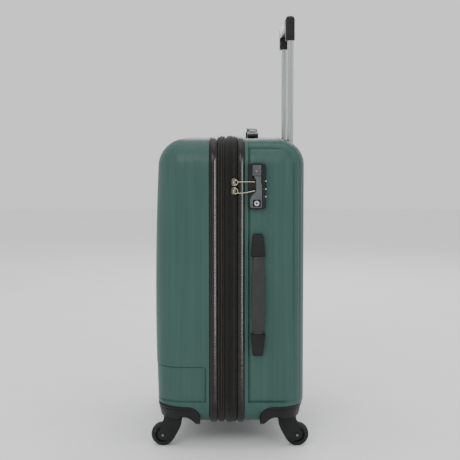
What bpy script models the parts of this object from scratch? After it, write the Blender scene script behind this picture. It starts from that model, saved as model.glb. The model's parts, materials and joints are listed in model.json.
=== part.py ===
"""Hard shell spinner suitcase: two moulded half shells on four swivel casters, with a two-stage trolley
handle, a zipped gusset that expands, two carrying handles and a zip lock.

The front half faces -Y, the trolley is at +Y, and the lock and the side handle are on the +X side.
The origin is on the floor, under the middle of the whole object. Everything is in metres.
"""

import math

import bmesh
import bpy
from mathutils import Matrix, Vector

# ---------------------------------------------------------------- driving dimensions
HALF_WIDTH = 0.225  # of the moulded shells
SHELL_BOTTOM = 0.0530
SHELL_TOP = 0.657
EDGE_RADIUS = 0.056  # every outer edge and corner of the shells
CORNER_STEPS = 5
WALL = 0.003
CLOTH = 0.001
FRONT_FACE = -0.1514
FRONT_BOW = 0.0070  # how far the front face swells past FRONT_FACE, at BOW_HEIGHT
BOW_HEIGHT = 0.320
BOW_REACH = 0.294
BACK_FACE = 0.157
FIT = 0.0003  # the gap between two pieces that touch
FRONT_LINING = (-0.1440, -0.0262, 0.0075)  # face, mouth and inset from the shell's outer faces
BACK_LINING = (0.1100, 0.0155, 0.0060)

# The gusset, from front to back: where each ring starts and ends in Y
FRONT_RIM = -0.0437
FRONT_TRIM = (-0.0434, -0.0258)
EXPANDER_ZIP_FRONT = (-0.0255, -0.0176)
EXPANDER_ZIP_REAR = (-0.0173, -0.0105)
BAND = (-0.0102, 0.0079)
MAIN_ZIP_REAR = (0.0085, 0.0147)
REAR_TRIM = (0.0150, 0.0306)
BACK_RIM = 0.0309
TRIM_PROUD = 0.0040
BAND_PROUD = 0.0028
GUSSET_DEPTH = 0.0050  # how far the trims reach in from the shell's outer face
SLEEVE_INSET = 0.0054
SLEEVE_FRONT = -0.0620
LID_AXIS = (-HALF_WIDTH - 0.0062, 0.0082)

# Casters, for the corner at +X and the front
WHEEL_RADIUS = 0.0250
WHEEL_HALF = 0.0095
WHEEL_STEPS = 24
AXLE_HEIGHT = WHEEL_RADIUS * math.cos(math.pi / WHEEL_STEPS)  # each wheel stands on one facet
AXLE_RADIUS = 0.0030
SWIVEL = Vector((0.180, -0.122, 0.0))
TRAIL = 0.0215
FORK_HALF = 0.0142
FORK_TOP = 0.0665
HOUSING_LOW = Vector((0.138, -0.1532, SHELL_BOTTOM))
HOUSING_HIGH = Vector((0.223, -0.0636, 0.0935))
HOUSING_FLOOR = 0.0670
HOUSING_LEAN = 0.0085  # how far the outer faces lean in, from top to bottom

# Trolley
TUBE_X = 0.120
TUBE_Y = 0.1308
TUBE_SIZE = (0.0220, 0.0124)  # the inner tube, in X and Y
TUBE_WALL = 0.0012
TUBE_GAP = 0.0004
INNER_Z = (0.366, 0.904)
MIDDLE_Z = (0.300, 0.6075)
PLUG_Z = (0.095, 0.109)  # the foot's plugs stop short of the stowed inner tubes
OUTER_Z = (0.0998, 0.5992)
GRIP_Y = (0.1199, 0.1390)
GRIP_BOTTOM = 0.868
GRIP_TOP = 0.921
GRIP_ROUND = 0.0086
GRIP_HALF = 0.134
HAND_GAP_HALF = 0.106
HAND_GAP_TOP = 0.894
CUP_LOW = Vector((-0.1455, 0.1120, 0.5995))
CUP_HIGH = Vector((0.1455, 0.1480, 0.700))
CUP_WALL = 0.0035

# What stands on the side face: its height is measured from the shell
LOCK_PROUD = 0.0075
LOCK_FACE_PROUD = 0.0082
DIAL_HEIGHTS = (0.5699, 0.5537, 0.5380)
DIAL_Y = 0.0712
DIAL_RADIUS = 0.0044
KEY_Y, KEY_Z, KEY_RADIUS = 0.0554, 0.5240, 0.0054
ZIP_Y = 0.0082
PULL_PROUD = 0.0087
PULL_HINGE_Y = 0.0099

# Carrying handles
TONGUE_X = (0.0036, 0.0060)  # the steel strap's two faces, above the face that the handle stands on
TONGUE_SHARE = 0.62  # of the grip's width
TONGUE_ROOT = 0.0060  # how far each tongue runs into its grip
CAP_TAPER = 0.70  # an end cap's height at its far end, over that at its mouth
POCKET_TOP = 0.0094  # leaves the tongues room for the grip's 3 mm pull
SIDE_GRIP_PROUD = 0.0203  # of the side face
CASE_SHIFT = (TRIM_PROUD - SIDE_GRIP_PROUD) / 2  # centres the whole object on the origin

# ---------------------------------------------------------------- scene and materials
for leftover in list(bpy.data.objects):
    bpy.data.objects.remove(leftover, do_unlink=True)

PARTS = bpy.data.collections.new("suitcase")
bpy.context.scene.collection.children.link(PARTS)

FINISHES = {  # base colour, roughness, metallic
    "green_shell": ((0.052, 0.122, 0.105), 0.38, 0.25),
    "black_plastic": ((0.030, 0.031, 0.030), 0.45, 0.0),
    "black_trim": ((0.022, 0.024, 0.022), 0.22, 0.0),
    "black_fabric": ((0.020, 0.020, 0.017), 0.90, 0.0),
    "zip_tape": ((0.024, 0.023, 0.020), 0.80, 0.0),
    "lining": ((0.045, 0.045, 0.048), 0.85, 0.0),
    "tyre": ((0.022, 0.023, 0.025), 0.55, 0.0),
    "rubber_grip": ((0.026, 0.027, 0.028), 0.60, 0.0),
    "aluminium": ((0.62, 0.65, 0.64), 0.32, 1.0),
    "silver_plastic": ((0.52, 0.53, 0.53), 0.30, 0.6),
    "lock_grey": ((0.150, 0.175, 0.190), 0.35, 0.2),
    "steel": ((0.60, 0.60, 0.58), 0.25, 1.0),
    "brass": ((0.50, 0.46, 0.33), 0.30, 1.0),
}


def make_material(name):
    colour, roughness, metallic = FINISHES[name]
    made = bpy.data.materials.new(name)
    made.use_nodes = True
    shader = made.node_tree.nodes["Principled BSDF"]
    shader.inputs["Base Color"].default_value = (*colour, 1.0)
    shader.inputs["Roughness"].default_value = roughness
    shader.inputs["Metallic"].default_value = metallic
    return made


MATERIALS = {name: make_material(name) for name in FINISHES}
PLACES = {}  # where each pivot is, in the case's own coordinates


def pivot(name, place, parent=None):
    """An empty that carries the pieces of one moving body, placed on its joint's axis."""
    empty = bpy.data.objects.new(name, None)
    empty.parent = parent
    empty.location = Vector(place) - (PLACES[parent.name] if parent else Vector())
    PLACES[name] = Vector(place) if parent else Vector()
    PARTS.objects.link(empty)
    return empty


def piece(name, mesh, finish, parent):
    """A named sub-part. Its mesh comes in the case's coordinates, and its origin is its parent's."""
    mesh.transform(Matrix.Translation(-PLACES[parent.name]))
    mesh.materials.clear()
    mesh.materials.append(MATERIALS[finish])
    mesh.shade_smooth()
    mesh.set_sharp_from_angle(angle=math.radians(35))
    obj = bpy.data.objects.new(name, mesh)
    obj.parent = parent
    PARTS.objects.link(obj)


# ---------------------------------------------------------------- mesh helpers
def from_bmesh(bm):
    bmesh.ops.remove_doubles(bm, verts=bm.verts, dist=1e-6)
    bmesh.ops.recalc_face_normals(bm, faces=bm.faces)
    if bm.calc_volume(signed=True) < 0:
        bmesh.ops.reverse_faces(bm, faces=bm.faces)
    mesh = bpy.data.meshes.new("solid")
    bm.to_mesh(mesh)
    bm.free()
    return mesh


def evaluated_mesh(obj):
    """The object's mesh with its modifiers applied and loose caps welded. The object is removed."""
    bpy.context.view_layer.update()
    graph = bpy.context.evaluated_depsgraph_get()
    mesh = bpy.data.meshes.new_from_object(obj.evaluated_get(graph))
    mesh.transform(obj.matrix_world)
    bpy.data.objects.remove(obj, do_unlink=True)
    bm = bmesh.new()
    bm.from_mesh(mesh)
    return from_bmesh(bm)


def loose(data, matrix=None):
    """A temporary object, for modifiers to work on."""
    obj = bpy.data.objects.new("temporary", data)
    obj.matrix_world = matrix or Matrix.Identity(4)
    bpy.context.scene.collection.objects.link(obj)
    return obj


def boolean(mesh, others, operation):
    for other in others:
        base, tool = loose(mesh), loose(other)
        modifier = base.modifiers.new("boolean", "BOOLEAN")
        modifier.operation = operation
        modifier.object = tool
        mesh = evaluated_mesh(base)
        bpy.data.objects.remove(tool, do_unlink=True)
    return mesh


def cut(mesh, *others):
    return boolean(mesh, others, "DIFFERENCE")


def joined(mesh, *others):
    return boolean(mesh, others, "UNION")


def common(mesh, *others):
    return boolean(mesh, others, "INTERSECT")


PLANES = {  # where a flat outline's own X, Y and thickness directions point
    "X": Matrix(((0, 0, 1, 0), (1, 0, 0, 0), (0, 1, 0, 0), (0, 0, 0, 1))),
    "Y": Matrix(((1, 0, 0, 0), (0, 0, -1, 0), (0, 1, 0, 0), (0, 0, 0, 1))),
    "Z": Matrix.Identity(4),
}


def prism(axis, span, *outlines):
    """A flat outline, with any further outlines as holes in it, made solid over span along axis."""
    curve = bpy.data.curves.new("outline", "CURVE")
    curve.dimensions = "2D"
    curve.fill_mode = "BOTH"
    curve.extrude = (span[1] - span[0]) / 2
    for outline in outlines:
        spline = curve.splines.new("POLY")
        spline.points.add(len(outline) - 1)
        for point, (u, v) in zip(spline.points, outline):
            point.co = (u, v, 0.0, 1.0)
        spline.use_cyclic_u = True
    middle = (span[0] + span[1]) / 2
    offset = Vector([middle if letter == axis else 0.0 for letter in "XYZ"])
    return evaluated_mesh(loose(curve, Matrix.Translation(offset) @ PLANES[axis]))


def box_bmesh(low, high):
    low, high = Vector(low), Vector(high)
    bm = bmesh.new()
    bmesh.ops.create_cube(bm, size=1.0)
    bmesh.ops.scale(bm, vec=high - low, verts=bm.verts)
    bmesh.ops.translate(bm, vec=(low + high) / 2, verts=bm.verts)
    return bm


def box(low, high):
    return from_bmesh(box_bmesh(low, high))


def edges_at(bm, **faces):
    """The edges whose two ends lie on all the given faces, such as x=0.1, z=0.2."""
    wanted = [("xyz".index(axis), value) for axis, value in faces.items()]
    return [e for e in bm.edges if all(abs(v.co[i] - t) < 1e-6 for v in e.verts for i, t in wanted)]


def round_edges(bm, edges, radius, steps):
    bmesh.ops.bevel(bm, geom=edges, offset=radius, segments=steps, profile=0.5, affect="EDGES")


def bevelled(mesh, width, segments=2, angle=40):
    """mesh with its sharp edges rounded."""
    obj = loose(mesh)
    modifier = obj.modifiers.new("bevel", "BEVEL")
    modifier.width = width
    modifier.segments = segments
    modifier.limit_method = "ANGLE"
    modifier.angle_limit = math.radians(angle)
    return evaluated_mesh(obj)


def cylinder(axis, centre, radius, span, steps=24):
    """A round bar along axis. centre gives the two other coordinates, in X, Y, Z order."""
    turns = {"X": Matrix.Rotation(math.pi / 2, 4, "Y"), "Y": Matrix.Rotation(-math.pi / 2, 4, "X")}
    place = list(centre)
    place.insert("XYZ".index(axis), (span[0] + span[1]) / 2)
    bm = bmesh.new()
    length = span[1] - span[0]
    bmesh.ops.create_cone(bm, cap_ends=True, segments=steps, radius1=radius, radius2=radius, depth=length)
    matrix = Matrix.Translation(place) @ turns.get(axis, Matrix.Identity(4))
    bmesh.ops.transform(bm, matrix=matrix, verts=bm.verts)
    return from_bmesh(bm)


def turned(profile, steps, closed, place):
    """A profile of (radius, height) points, from top to bottom, turned about an X axis at place."""
    bm = bmesh.new()
    points = [bm.verts.new((radius, 0.0, height)) for radius, height in profile]
    for pair in list(zip(points, points[1:])) + ([(points[-1], points[0])] if closed else []):
        bm.edges.new(pair)
    mesh = bpy.data.meshes.new("profile")
    bm.to_mesh(mesh)
    bm.free()
    obj = loose(mesh)
    modifier = obj.modifiers.new("screw", "SCREW")
    modifier.steps = modifier.render_steps = steps
    modifier.use_merge_vertices = True
    modifier.merge_threshold = 1e-5
    made = evaluated_mesh(obj)
    half_facet = Matrix.Rotation(math.pi / steps, 4, "X")
    made.transform(Matrix.Translation(place) @ half_facet @ Matrix.Rotation(math.pi / 2, 4, "Y"))
    return made


def arc(centre, radius, start, end, steps):
    """Points on an arc, from one angle to another in degrees."""
    turns = [math.radians(start + (end - start) * i / steps) for i in range(steps + 1)]
    return [(centre[0] + radius * math.cos(t), centre[1] + radius * math.sin(t)) for t in turns]


def rounded(low, high, radius, steps=3):
    """The outline of a rectangle with round corners, clockwise from the top of its left side."""
    (u0, v0), (u1, v1) = low, high
    corners = (
        ((u0 + radius, v1 - radius), 180),
        ((u1 - radius, v1 - radius), 90),
        ((u1 - radius, v0 + radius), 0),
        ((u0 + radius, v0 + radius), -90),
    )
    return [p for centre, start in corners for p in arc(centre, radius, start, start - 90, steps)]


def millimetres(*points):
    return [(u / 1000, v / 1000) for u, v in points]


# ---------------------------------------------------------------- shells and linings
def half_body(face, rim, inset, closed):
    """One half of the case's form, from its mouth at rim to its outer face, drawn in by inset."""
    low = Vector((-HALF_WIDTH + inset, min(face, rim), SHELL_BOTTOM + inset))
    high = Vector((HALF_WIDTH - inset, max(face, rim), SHELL_TOP - inset))
    bm = box_bmesh(low, high)
    at_mouth = [f for f in bm.faces if all(abs(v.co.y - rim) < 1e-6 for v in f.verts)]
    mouth_edges = set(at_mouth[0].edges)
    if not closed:
        bmesh.ops.delete(bm, geom=at_mouth, context="FACES_ONLY")
    edges = [e for e in bm.edges if e not in mouth_edges]
    round_edges(bm, edges, EDGE_RADIUS - inset, CORNER_STEPS)
    return bm


def swell(bm, rim, levels=5):
    """Bow the front face outwards, fading out along the corner's depth."""
    low, high = SHELL_BOTTOM + EDGE_RADIUS, SHELL_TOP - EDGE_RADIUS
    for i in range(levels):
        height = low + (high - low) * (i + 1) / (levels + 1)
        geometry = bm.verts[:] + bm.edges[:] + bm.faces[:]
        bmesh.ops.bisect_plane(bm, geom=geometry, plane_co=(0, 0, height), plane_no=(0, 0, 1))
    depth = abs(FRONT_FACE - rim)
    for v in bm.verts:
        reach = max(0.0, (rim - v.co.y - (depth - EDGE_RADIUS)) / EDGE_RADIUS)
        v.co.y -= FRONT_BOW * reach * (1 - ((v.co.z - BOW_HEIGHT) / BOW_REACH) ** 2)


def thick_shell(bm):
    obj = loose(from_bmesh(bm))
    modifier = obj.modifiers.new("wall", "SOLIDIFY")
    modifier.thickness = WALL
    modifier.offset = -1.0
    modifier.use_even_offset = True
    return evaluated_mesh(obj)


def at_corner(mesh, side, end):
    """A copy of a mesh made for the +X front corner, at side (+1 or -1 in X) and end (-1 is front)."""
    bm = bmesh.new()
    bm.from_mesh(mesh)
    bmesh.ops.scale(bm, vec=(side, -end, 1.0), verts=bm.verts)
    return from_bmesh(bm)


def housing_block(grow, foot_radius=0.0):
    """A caster housing's outer form, grown on every side, with its outer bottom edge rounded."""
    margin = Vector((grow, grow, grow))
    low, high = HOUSING_LOW - margin, HOUSING_HIGH + margin
    bm = box_bmesh(low, high)
    upright = edges_at(bm, x=high.x, y=low.y)
    for v in bm.verts:
        if v.co.z < high.z:
            v.co.x = min(v.co.x, high.x - HOUSING_LEAN)
            v.co.y = max(v.co.y, low.y + HOUSING_LEAN)
    round_edges(bm, upright, 0.048, 5)
    round_edges(bm, edges_at(bm, x=low.x, z=high.z) + edges_at(bm, y=high.y, z=high.z), 0.028, 4)
    if foot_radius:
        inner_ends = set(edges_at(bm, x=low.x, z=low.z) + edges_at(bm, y=high.y, z=low.z))
        round_edges(bm, [e for e in edges_at(bm, z=low.z) if e not in inner_ends], foot_radius, 4)
    return from_bmesh(bm)


def both_sides(mesh, end):
    return [at_corner(mesh, side, end) for side in (-1, 1)]


def make_shells(back, front):
    cutter = housing_block(2 * FIT)
    bm = half_body(FRONT_FACE, FRONT_RIM, 0.0, closed=False)
    swell(bm, FRONT_RIM)
    piece("front_shell", cut(thick_shell(bm), *both_sides(cutter, -1)), "green_shell", front)
    mouth = Vector((2 * FIT, 2 * FIT, 2 * FIT))
    cup_hole = box(CUP_LOW - mouth, CUP_HIGH + mouth)
    rear = thick_shell(half_body(BACK_FACE, BACK_RIM, 0.0, closed=False))
    piece("back_shell", cut(rear, *both_sides(cutter, 1), cup_hole), "green_shell", back)


def lining(face, rim, inset, end):
    """A textile skin inside one shell, which steps over the two caster housings."""
    outside = from_bmesh(half_body(face, rim, inset, closed=True))
    hollow = half_body(face - end * CLOTH, rim - end * 0.010, inset + CLOTH, closed=True)
    outside = cut(outside, *both_sides(housing_block(0.0020), end))
    return cut(outside, cut(from_bmesh(hollow), *both_sides(housing_block(0.0020 + CLOTH), end)))


def make_linings(back, front):
    piece("front_lining", lining(*FRONT_LINING, -1), "lining", front)
    piece("back_lining", lining(*BACK_LINING, 1), "lining", back)


# ---------------------------------------------------------------- gusset
def case_outline(inset):
    """The case seen from the front, drawn in by inset, clockwise from the top of the -X side."""
    low = (-HALF_WIDTH + inset, SHELL_BOTTOM + inset)
    high = (HALF_WIDTH - inset, SHELL_TOP - inset)
    return rounded(low, high, EDGE_RADIUS - inset, CORNER_STEPS)


def ring(span, proud, depth):
    """A closed band round the case, from proud outside its side face to depth inside."""
    return prism("Y", span, case_outline(-proud), case_outline(depth))


def make_gusset(back, lid, front):
    piece("front_trim", bevelled(ring(FRONT_TRIM, TRIM_PROUD, GUSSET_DEPTH), 0.004), "black_trim", front)
    piece("rear_trim", bevelled(ring(REAR_TRIM, TRIM_PROUD, GUSSET_DEPTH), 0.004), "black_trim", back)
    piece("gusset_band", ring(BAND, BAND_PROUD, 0.0066), "black_fabric", lid)
    piece("expander_zip_front", ring(EXPANDER_ZIP_FRONT, BAND_PROUD, 0.0020), "zip_tape", front)
    piece("expander_zip_rear", ring(EXPANDER_ZIP_REAR, BAND_PROUD, 0.0066), "zip_tape", lid)
    sleeve_span = (SLEEVE_FRONT, EXPANDER_ZIP_REAR[0] - FIT)
    sleeve = prism("Y", sleeve_span, case_outline(SLEEVE_INSET), case_outline(SLEEVE_INSET + CLOTH))
    piece("expansion_sleeve", sleeve, "black_fabric", lid)
    round_three_sides = case_outline(-BAND_PROUD) + case_outline(0.0020)[::-1]
    piece("main_zip_rear", prism("Y", MAIN_ZIP_REAR, round_three_sides), "zip_tape", back)
    strip_low = (-HALF_WIDTH - BAND_PROUD, MAIN_ZIP_REAR[0], SHELL_BOTTOM + EDGE_RADIUS + FIT)
    strip_high = (-HALF_WIDTH + 0.0020, MAIN_ZIP_REAR[1], SHELL_TOP - EDGE_RADIUS - FIT)
    piece("hinge_strip", box(strip_low, strip_high), "black_fabric", back)


# ---------------------------------------------------------------- casters
def caster_housing():
    """A corner cup: hollow above, where the lining covers it, and arched below beside the fork."""
    pocket = box_bmesh((0.1425, -0.1325, 0.0730), (0.2025, -0.0690, 0.1100))
    uprights = [e for e in pocket.edges if abs(e.verts[0].co.z - e.verts[1].co.z) > 0.01]
    round_edges(pocket, uprights, 0.016, 3)
    under = millimetres((-73, 50), (-73, 55), (-80, 63.0), (-89, 68.6), (-98, 70.2), (-106, 70.2))
    under += [(-0.106, HOUSING_FLOOR), (-0.170, HOUSING_FLOOR), (-0.170, 0.050)]
    arch = prism("X", (0.150, 0.240), under)
    socket = cylinder("Z", SWIVEL.xy, 0.0045, (0.060, 0.0790), 16)
    return cut(housing_block(0.0, foot_radius=0.009), from_bmesh(pocket), arch, socket)


def caster_fork():
    """A teardrop fork that straddles the wheel, with a round crown and a stem."""
    outline = millimetres(
        (-102.8, 61), (-104.2, 48.5), (-108, 38.5), (-112.8, 29.6), (-119.5, 17.6), (-125, 12.8)
    )
    centre = (SWIVEL.y - TRAIL, AXLE_HEIGHT)
    outline += [(SWIVEL.y - 0.012, 0.0115)] + arc(centre, 0.0105, -85, -190, 5)
    outline += millimetres((-148.5, 41), (-143.8, 51), (-141.2, 61))
    body = prism("X", (SWIVEL.x - FORK_HALF, SWIVEL.x + FORK_HALF), outline)
    body = bevelled(body, 0.0022, 1, 60)
    crown = cylinder("Z", SWIVEL.xy, 0.0205, (0.0590, FORK_TOP), 20)
    stem = cylinder("Z", SWIVEL.xy, 0.0040, (0.0650, 0.0775), 12)
    slot_span = (SWIVEL.x - WHEEL_HALF - 0.0010, SWIVEL.x + WHEEL_HALF + 0.0010)
    slot = cylinder("X", centre, WHEEL_RADIUS + 0.0018, slot_span, 24)
    bore = cylinder("X", centre, AXLE_RADIUS + FIT, (0.1, 0.3), 12)
    return cut(joined(body, crown, stem), slot, bore)


def mirrored_profile(half):
    """A profile's points for positive heights, from the rim down, and the same again below."""
    return half + [(radius, -height) for radius, height in reversed(half)]


def caster_tyre(place):
    width = WHEEL_HALF
    outer = [(0.0215, width), (0.0242, width - 0.0025), (WHEEL_RADIUS, width - 0.0060)]
    profile = mirrored_profile(outer) + [(0.0181, -width), (0.0181, width)]
    return turned(profile, WHEEL_STEPS, True, place)


def caster_hub(place):
    face, web = WHEEL_HALF - 0.0008, WHEEL_HALF - 0.0030
    bore = AXLE_RADIUS + FIT
    lower = [(0.0178, -face), (0.0148, -face), (0.0132, -web), (bore, -web)]
    upper = [(bore, web), (0.0132, web), (0.0148, face), (0.0178, face)]
    return turned(lower + upper, 16, True, place)


def caster_axle(place):
    inside, head = FORK_HALF + FIT, FORK_HALF + 0.0016
    half = [(0.0, head), (0.0044, head), (0.0048, inside), (AXLE_RADIUS, inside)]
    return turned(mirrored_profile(half), 12, False, place)


def make_caster(name, side, end, half):
    """One caster: its housing is fixed, its fork swivels, and its wheel turns in the fork."""
    wheel_place = Vector((SWIVEL.x, SWIVEL.y - TRAIL, AXLE_HEIGHT))
    flip = Vector((side, -end, 1.0))
    swivel = pivot(name + "_swivel", SWIVEL * flip, half)
    wheel = pivot(name + "_wheel", wheel_place * flip, swivel)
    housing = at_corner(caster_housing(), side, end)
    piece(name + "_housing", housing, "black_plastic", half)
    piece(name + "_fork", at_corner(caster_fork(), side, end), "black_plastic", swivel)
    piece(name + "_axle", caster_axle(wheel_place * flip), "steel", swivel)
    piece(name + "_hub", caster_hub(wheel_place * flip), "black_plastic", wheel)
    piece(name + "_tyre", caster_tyre(wheel_place * flip), "tyre", wheel)


# ---------------------------------------------------------------- trolley
def tube_outline(x, grow):
    half = Vector(TUBE_SIZE) / 2 + Vector((grow, grow))
    corner = 0.0030 + grow
    return rounded((x - half.x, TUBE_Y - half.y), (x + half.x, TUBE_Y + half.y), corner, 2)


def tube(x, span, stage):
    """A tube of the trolley. stage 0 is the innermost, and each further one slides over the last."""
    inside = stage * (TUBE_WALL + TUBE_GAP) - TUBE_WALL
    return prism("Z", span, tube_outline(x, inside + TUBE_WALL), tube_outline(x, inside))


def trolley_cup():
    """The recess in the top rear corner that takes the grip, and guides the tubes through its floor."""
    skin = from_bmesh(half_body(BACK_FACE + 0.0012, BACK_RIM, -0.0012, closed=True))
    cup = common(box(CUP_LOW, CUP_HIGH), skin)
    wall = Vector((CUP_WALL, CUP_WALL, 0.0040))
    recess = prism(
        "Z",
        (CUP_LOW.z + wall.z, CUP_HIGH.z),
        rounded((CUP_LOW + wall).xy, (CUP_HIGH - wall).xy, 0.005, 2),
    )
    grow = TUBE_WALL + TUBE_GAP + FIT
    holes = [prism("Z", (0.59, 0.62), tube_outline(side * TUBE_X, grow)) for side in (-1, 1)]
    return cut(cup, recess, *holes)


def trolley_foot():
    """The bar at the bottom of the case that both outer tubes stand on."""
    bar = box((-0.136, 0.1215, 0.0825), (0.136, 0.1400, OUTER_Z[0] - FIT))
    plugs = [prism("Z", PLUG_Z, tube_outline(side * TUBE_X, 0.0)) for side in (-1, 1)]
    return joined(bevelled(bar, 0.0015, 1), *plugs)


def grip_corner(face, side):
    """What is cut away along the grip's top to round it, at its front (side -1) or back (side 1)."""
    middle = (face - side * GRIP_ROUND, GRIP_TOP - GRIP_ROUND)
    start, end = (170, 96) if side < 0 else (10, 84)
    outline = arc(middle, GRIP_ROUND, start, end, 5)
    beyond = 0.01
    outline += [(outline[-1][0], GRIP_TOP + beyond), (face + side * beyond, GRIP_TOP + beyond)]
    outline += [(face + side * beyond, outline[0][1])]
    return prism("X", (-2 * GRIP_HALF, 2 * GRIP_HALF), outline)


def trolley_grip():
    """The handle bar and its two legs, with sockets for the tubes and recesses for the inserts."""
    inner_corner, outer_corner = 0.009, 0.012
    outline = [(-GRIP_HALF, GRIP_BOTTOM)]
    for side, start in ((-1, 180), (1, 90)):
        centre = (side * (GRIP_HALF - outer_corner), GRIP_TOP - outer_corner)
        outline += arc(centre, outer_corner, start, start - 90, 3)
    outline += [(GRIP_HALF, GRIP_BOTTOM), (HAND_GAP_HALF, GRIP_BOTTOM)]
    for side, start in ((1, 0), (-1, 90)):
        centre = (side * (HAND_GAP_HALF - inner_corner), HAND_GAP_TOP - inner_corner)
        outline += arc(centre, inner_corner, start, start + 90, 3)
    outline += [(-HAND_GAP_HALF, GRIP_BOTTOM)]
    body = bevelled(prism("Y", GRIP_Y, outline), 0.0030, 2)
    body = cut(body, grip_corner(GRIP_Y[0], -1), grip_corner(GRIP_Y[1], 1))
    sockets = [prism("Z", (0.860, 0.906), tube_outline(side * TUBE_X, FIT)) for side in (-1, 1)]
    face_recess = box((-0.0983, 0.100, 0.880), (0.0983, 0.1243, 0.9300))
    button_recess = box((-0.0164, 0.1263, 0.9030), (0.0164, 0.1357, 0.9300))
    return cut(body, *sockets, face_recess, button_recess)


def grip_face():
    """The bright insert along the front and underside of the grip."""
    front, back, bottom = 0.1195, 0.1240, HAND_GAP_TOP - 0.0005
    middle = (GRIP_Y[0] + GRIP_ROUND, GRIP_TOP - GRIP_ROUND)
    outline = [(back, bottom), (front + 0.0015, bottom), (front, bottom + 0.0015)]
    outline += arc(middle, middle[0] - front, 180, 122, 4)
    return prism("X", (-0.0980, 0.0980), outline)


def make_trolley(back):
    middle = pivot("middle_stage", (0.0, TUBE_Y, MIDDLE_Z[1]), back)
    inner = pivot("grip_stage", (0.0, TUBE_Y, GRIP_BOTTOM), middle)
    button = pivot("trolley_button", (0.0, TUBE_Y, GRIP_TOP), inner)
    piece("trolley_cup", trolley_cup(), "black_plastic", back)
    piece("trolley_foot", trolley_foot(), "black_plastic", back)
    for name, side in (("left", -1), ("right", 1)):
        x = side * TUBE_X
        piece(name + "_outer_tube", tube(x, OUTER_Z, 2), "aluminium", back)
        piece(name + "_middle_tube", tube(x, MIDDLE_Z, 1), "aluminium", middle)
        piece(name + "_inner_tube", tube(x, INNER_Z, 0), "aluminium", inner)
    piece("trolley_grip", trolley_grip(), "black_plastic", inner)
    piece("grip_face", grip_face(), "silver_plastic", inner)
    key = prism("Z", (0.9070, 0.9222), rounded((-0.0160, 0.1267), (0.0160, 0.1353), 0.003, 2))
    piece("release_button", bevelled(key, 0.0010, 1), "silver_plastic", button)


# ---------------------------------------------------------------- carrying handles
def handle_grip(half_length, half_width, height, gap, tongue):
    """A bowed grip along Z that stands off the face x = 0, with a flat tongue at each end."""
    steps = 10
    shares = [i / steps * 2 - 1 for i in range(steps + 1)]
    outer = [(height * (1 - 0.38 * t * t), half_length * t) for t in shares]
    under = [(gap - (gap - TONGUE_X[0]) * t**4, half_length * t) for t in reversed(shares)]
    body = bevelled(prism("Y", (-half_width, half_width), outer + under), 0.0026, 2)
    half, root = TONGUE_SHARE * half_width, half_length - TONGUE_ROOT
    ends = [
        box((TONGUE_X[0], -half, low), (TONGUE_X[1], half, high))
        for low, high in ((-tongue, -root), (root, tongue))
    ]
    return joined(body, *ends)


def handle_cap(start, length, wide, narrow, height, pocket_half):
    """A tapered end cap along Z from start, hollow at its mouth for the grip's tongue."""
    low, high = (start, start + length)
    bm = box_bmesh((0.0, -wide, low), (height, wide, high))
    for v in bm.verts:
        if v.co.z > start + length / 2:
            v.co.y *= narrow / wide
            v.co.x *= CAP_TAPER
    round_edges(bm, edges_at(bm, z=high), 0.0040, 2)
    shell = bevelled(from_bmesh(bm), 0.0022, 2, 30)
    wall = 0.0016
    pocket_low = (wall, -pocket_half, start - 0.01)
    return cut(shell, box(pocket_low, (POCKET_TOP, pocket_half, start + 0.54 * length)))


def placed(mesh, matrix):
    mesh.transform(matrix)
    return mesh


def make_handle(name, parent, frame, sizes, finish, caps):
    """A grip that can be pulled off its face by a few millimetres, and the caps that hold it."""
    half_length, half_width, height, gap, cap_length, cap_wide, cap_narrow, cap_height = sizes
    centre = frame.to_translation()
    moving = pivot(name + "_pull", centre, parent)
    tongue = half_length + 0.45 * cap_length
    grip = handle_grip(half_length - FIT, half_width, height, gap, tongue)
    piece(name + "_grip", placed(grip, frame), finish, moving)
    for cap, flip in zip(caps, (1, -1)):
        pocket_half = TONGUE_SHARE * half_width + 2 * FIT
        mesh = handle_cap(half_length + FIT, cap_length, cap_wide, cap_narrow, cap_height, pocket_half)
        turn = Matrix.Identity(4) if flip == 1 else Matrix.Rotation(math.pi, 4, "X")
        piece(f"{name}_{cap}", placed(mesh, frame @ turn), "black_plastic", parent)


def make_handles(back):
    side_frame = Matrix.Translation((HALF_WIDTH + FIT, 0.0580, 0.3325))
    height = SIDE_GRIP_PROUD - FIT
    side_sizes = (0.0810, 0.0135, height, 0.0118, 0.0465, 0.0155, 0.0110, 0.0130)
    make_handle("side_handle", back, side_frame, side_sizes, "rubber_grip", ("upper_cap", "lower_cap"))
    top_turn = Matrix(((0, 0, 1, 0), (0, 1, 0, 0), (1, 0, 0, 0), (0, 0, 0, 1)))
    mirror = Matrix.Scale(-1, 4, (0, 1, 0))
    top_frame = Matrix.Translation((0.0, 0.0500, SHELL_TOP + FIT)) @ top_turn @ mirror
    top_sizes = (0.0720, 0.0115, 0.0260, 0.0170, 0.0280, 0.0130, 0.0110, 0.0135)
    make_handle("top_handle", back, top_frame, top_sizes, "silver_plastic", ("right_foot", "left_foot"))


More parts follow.
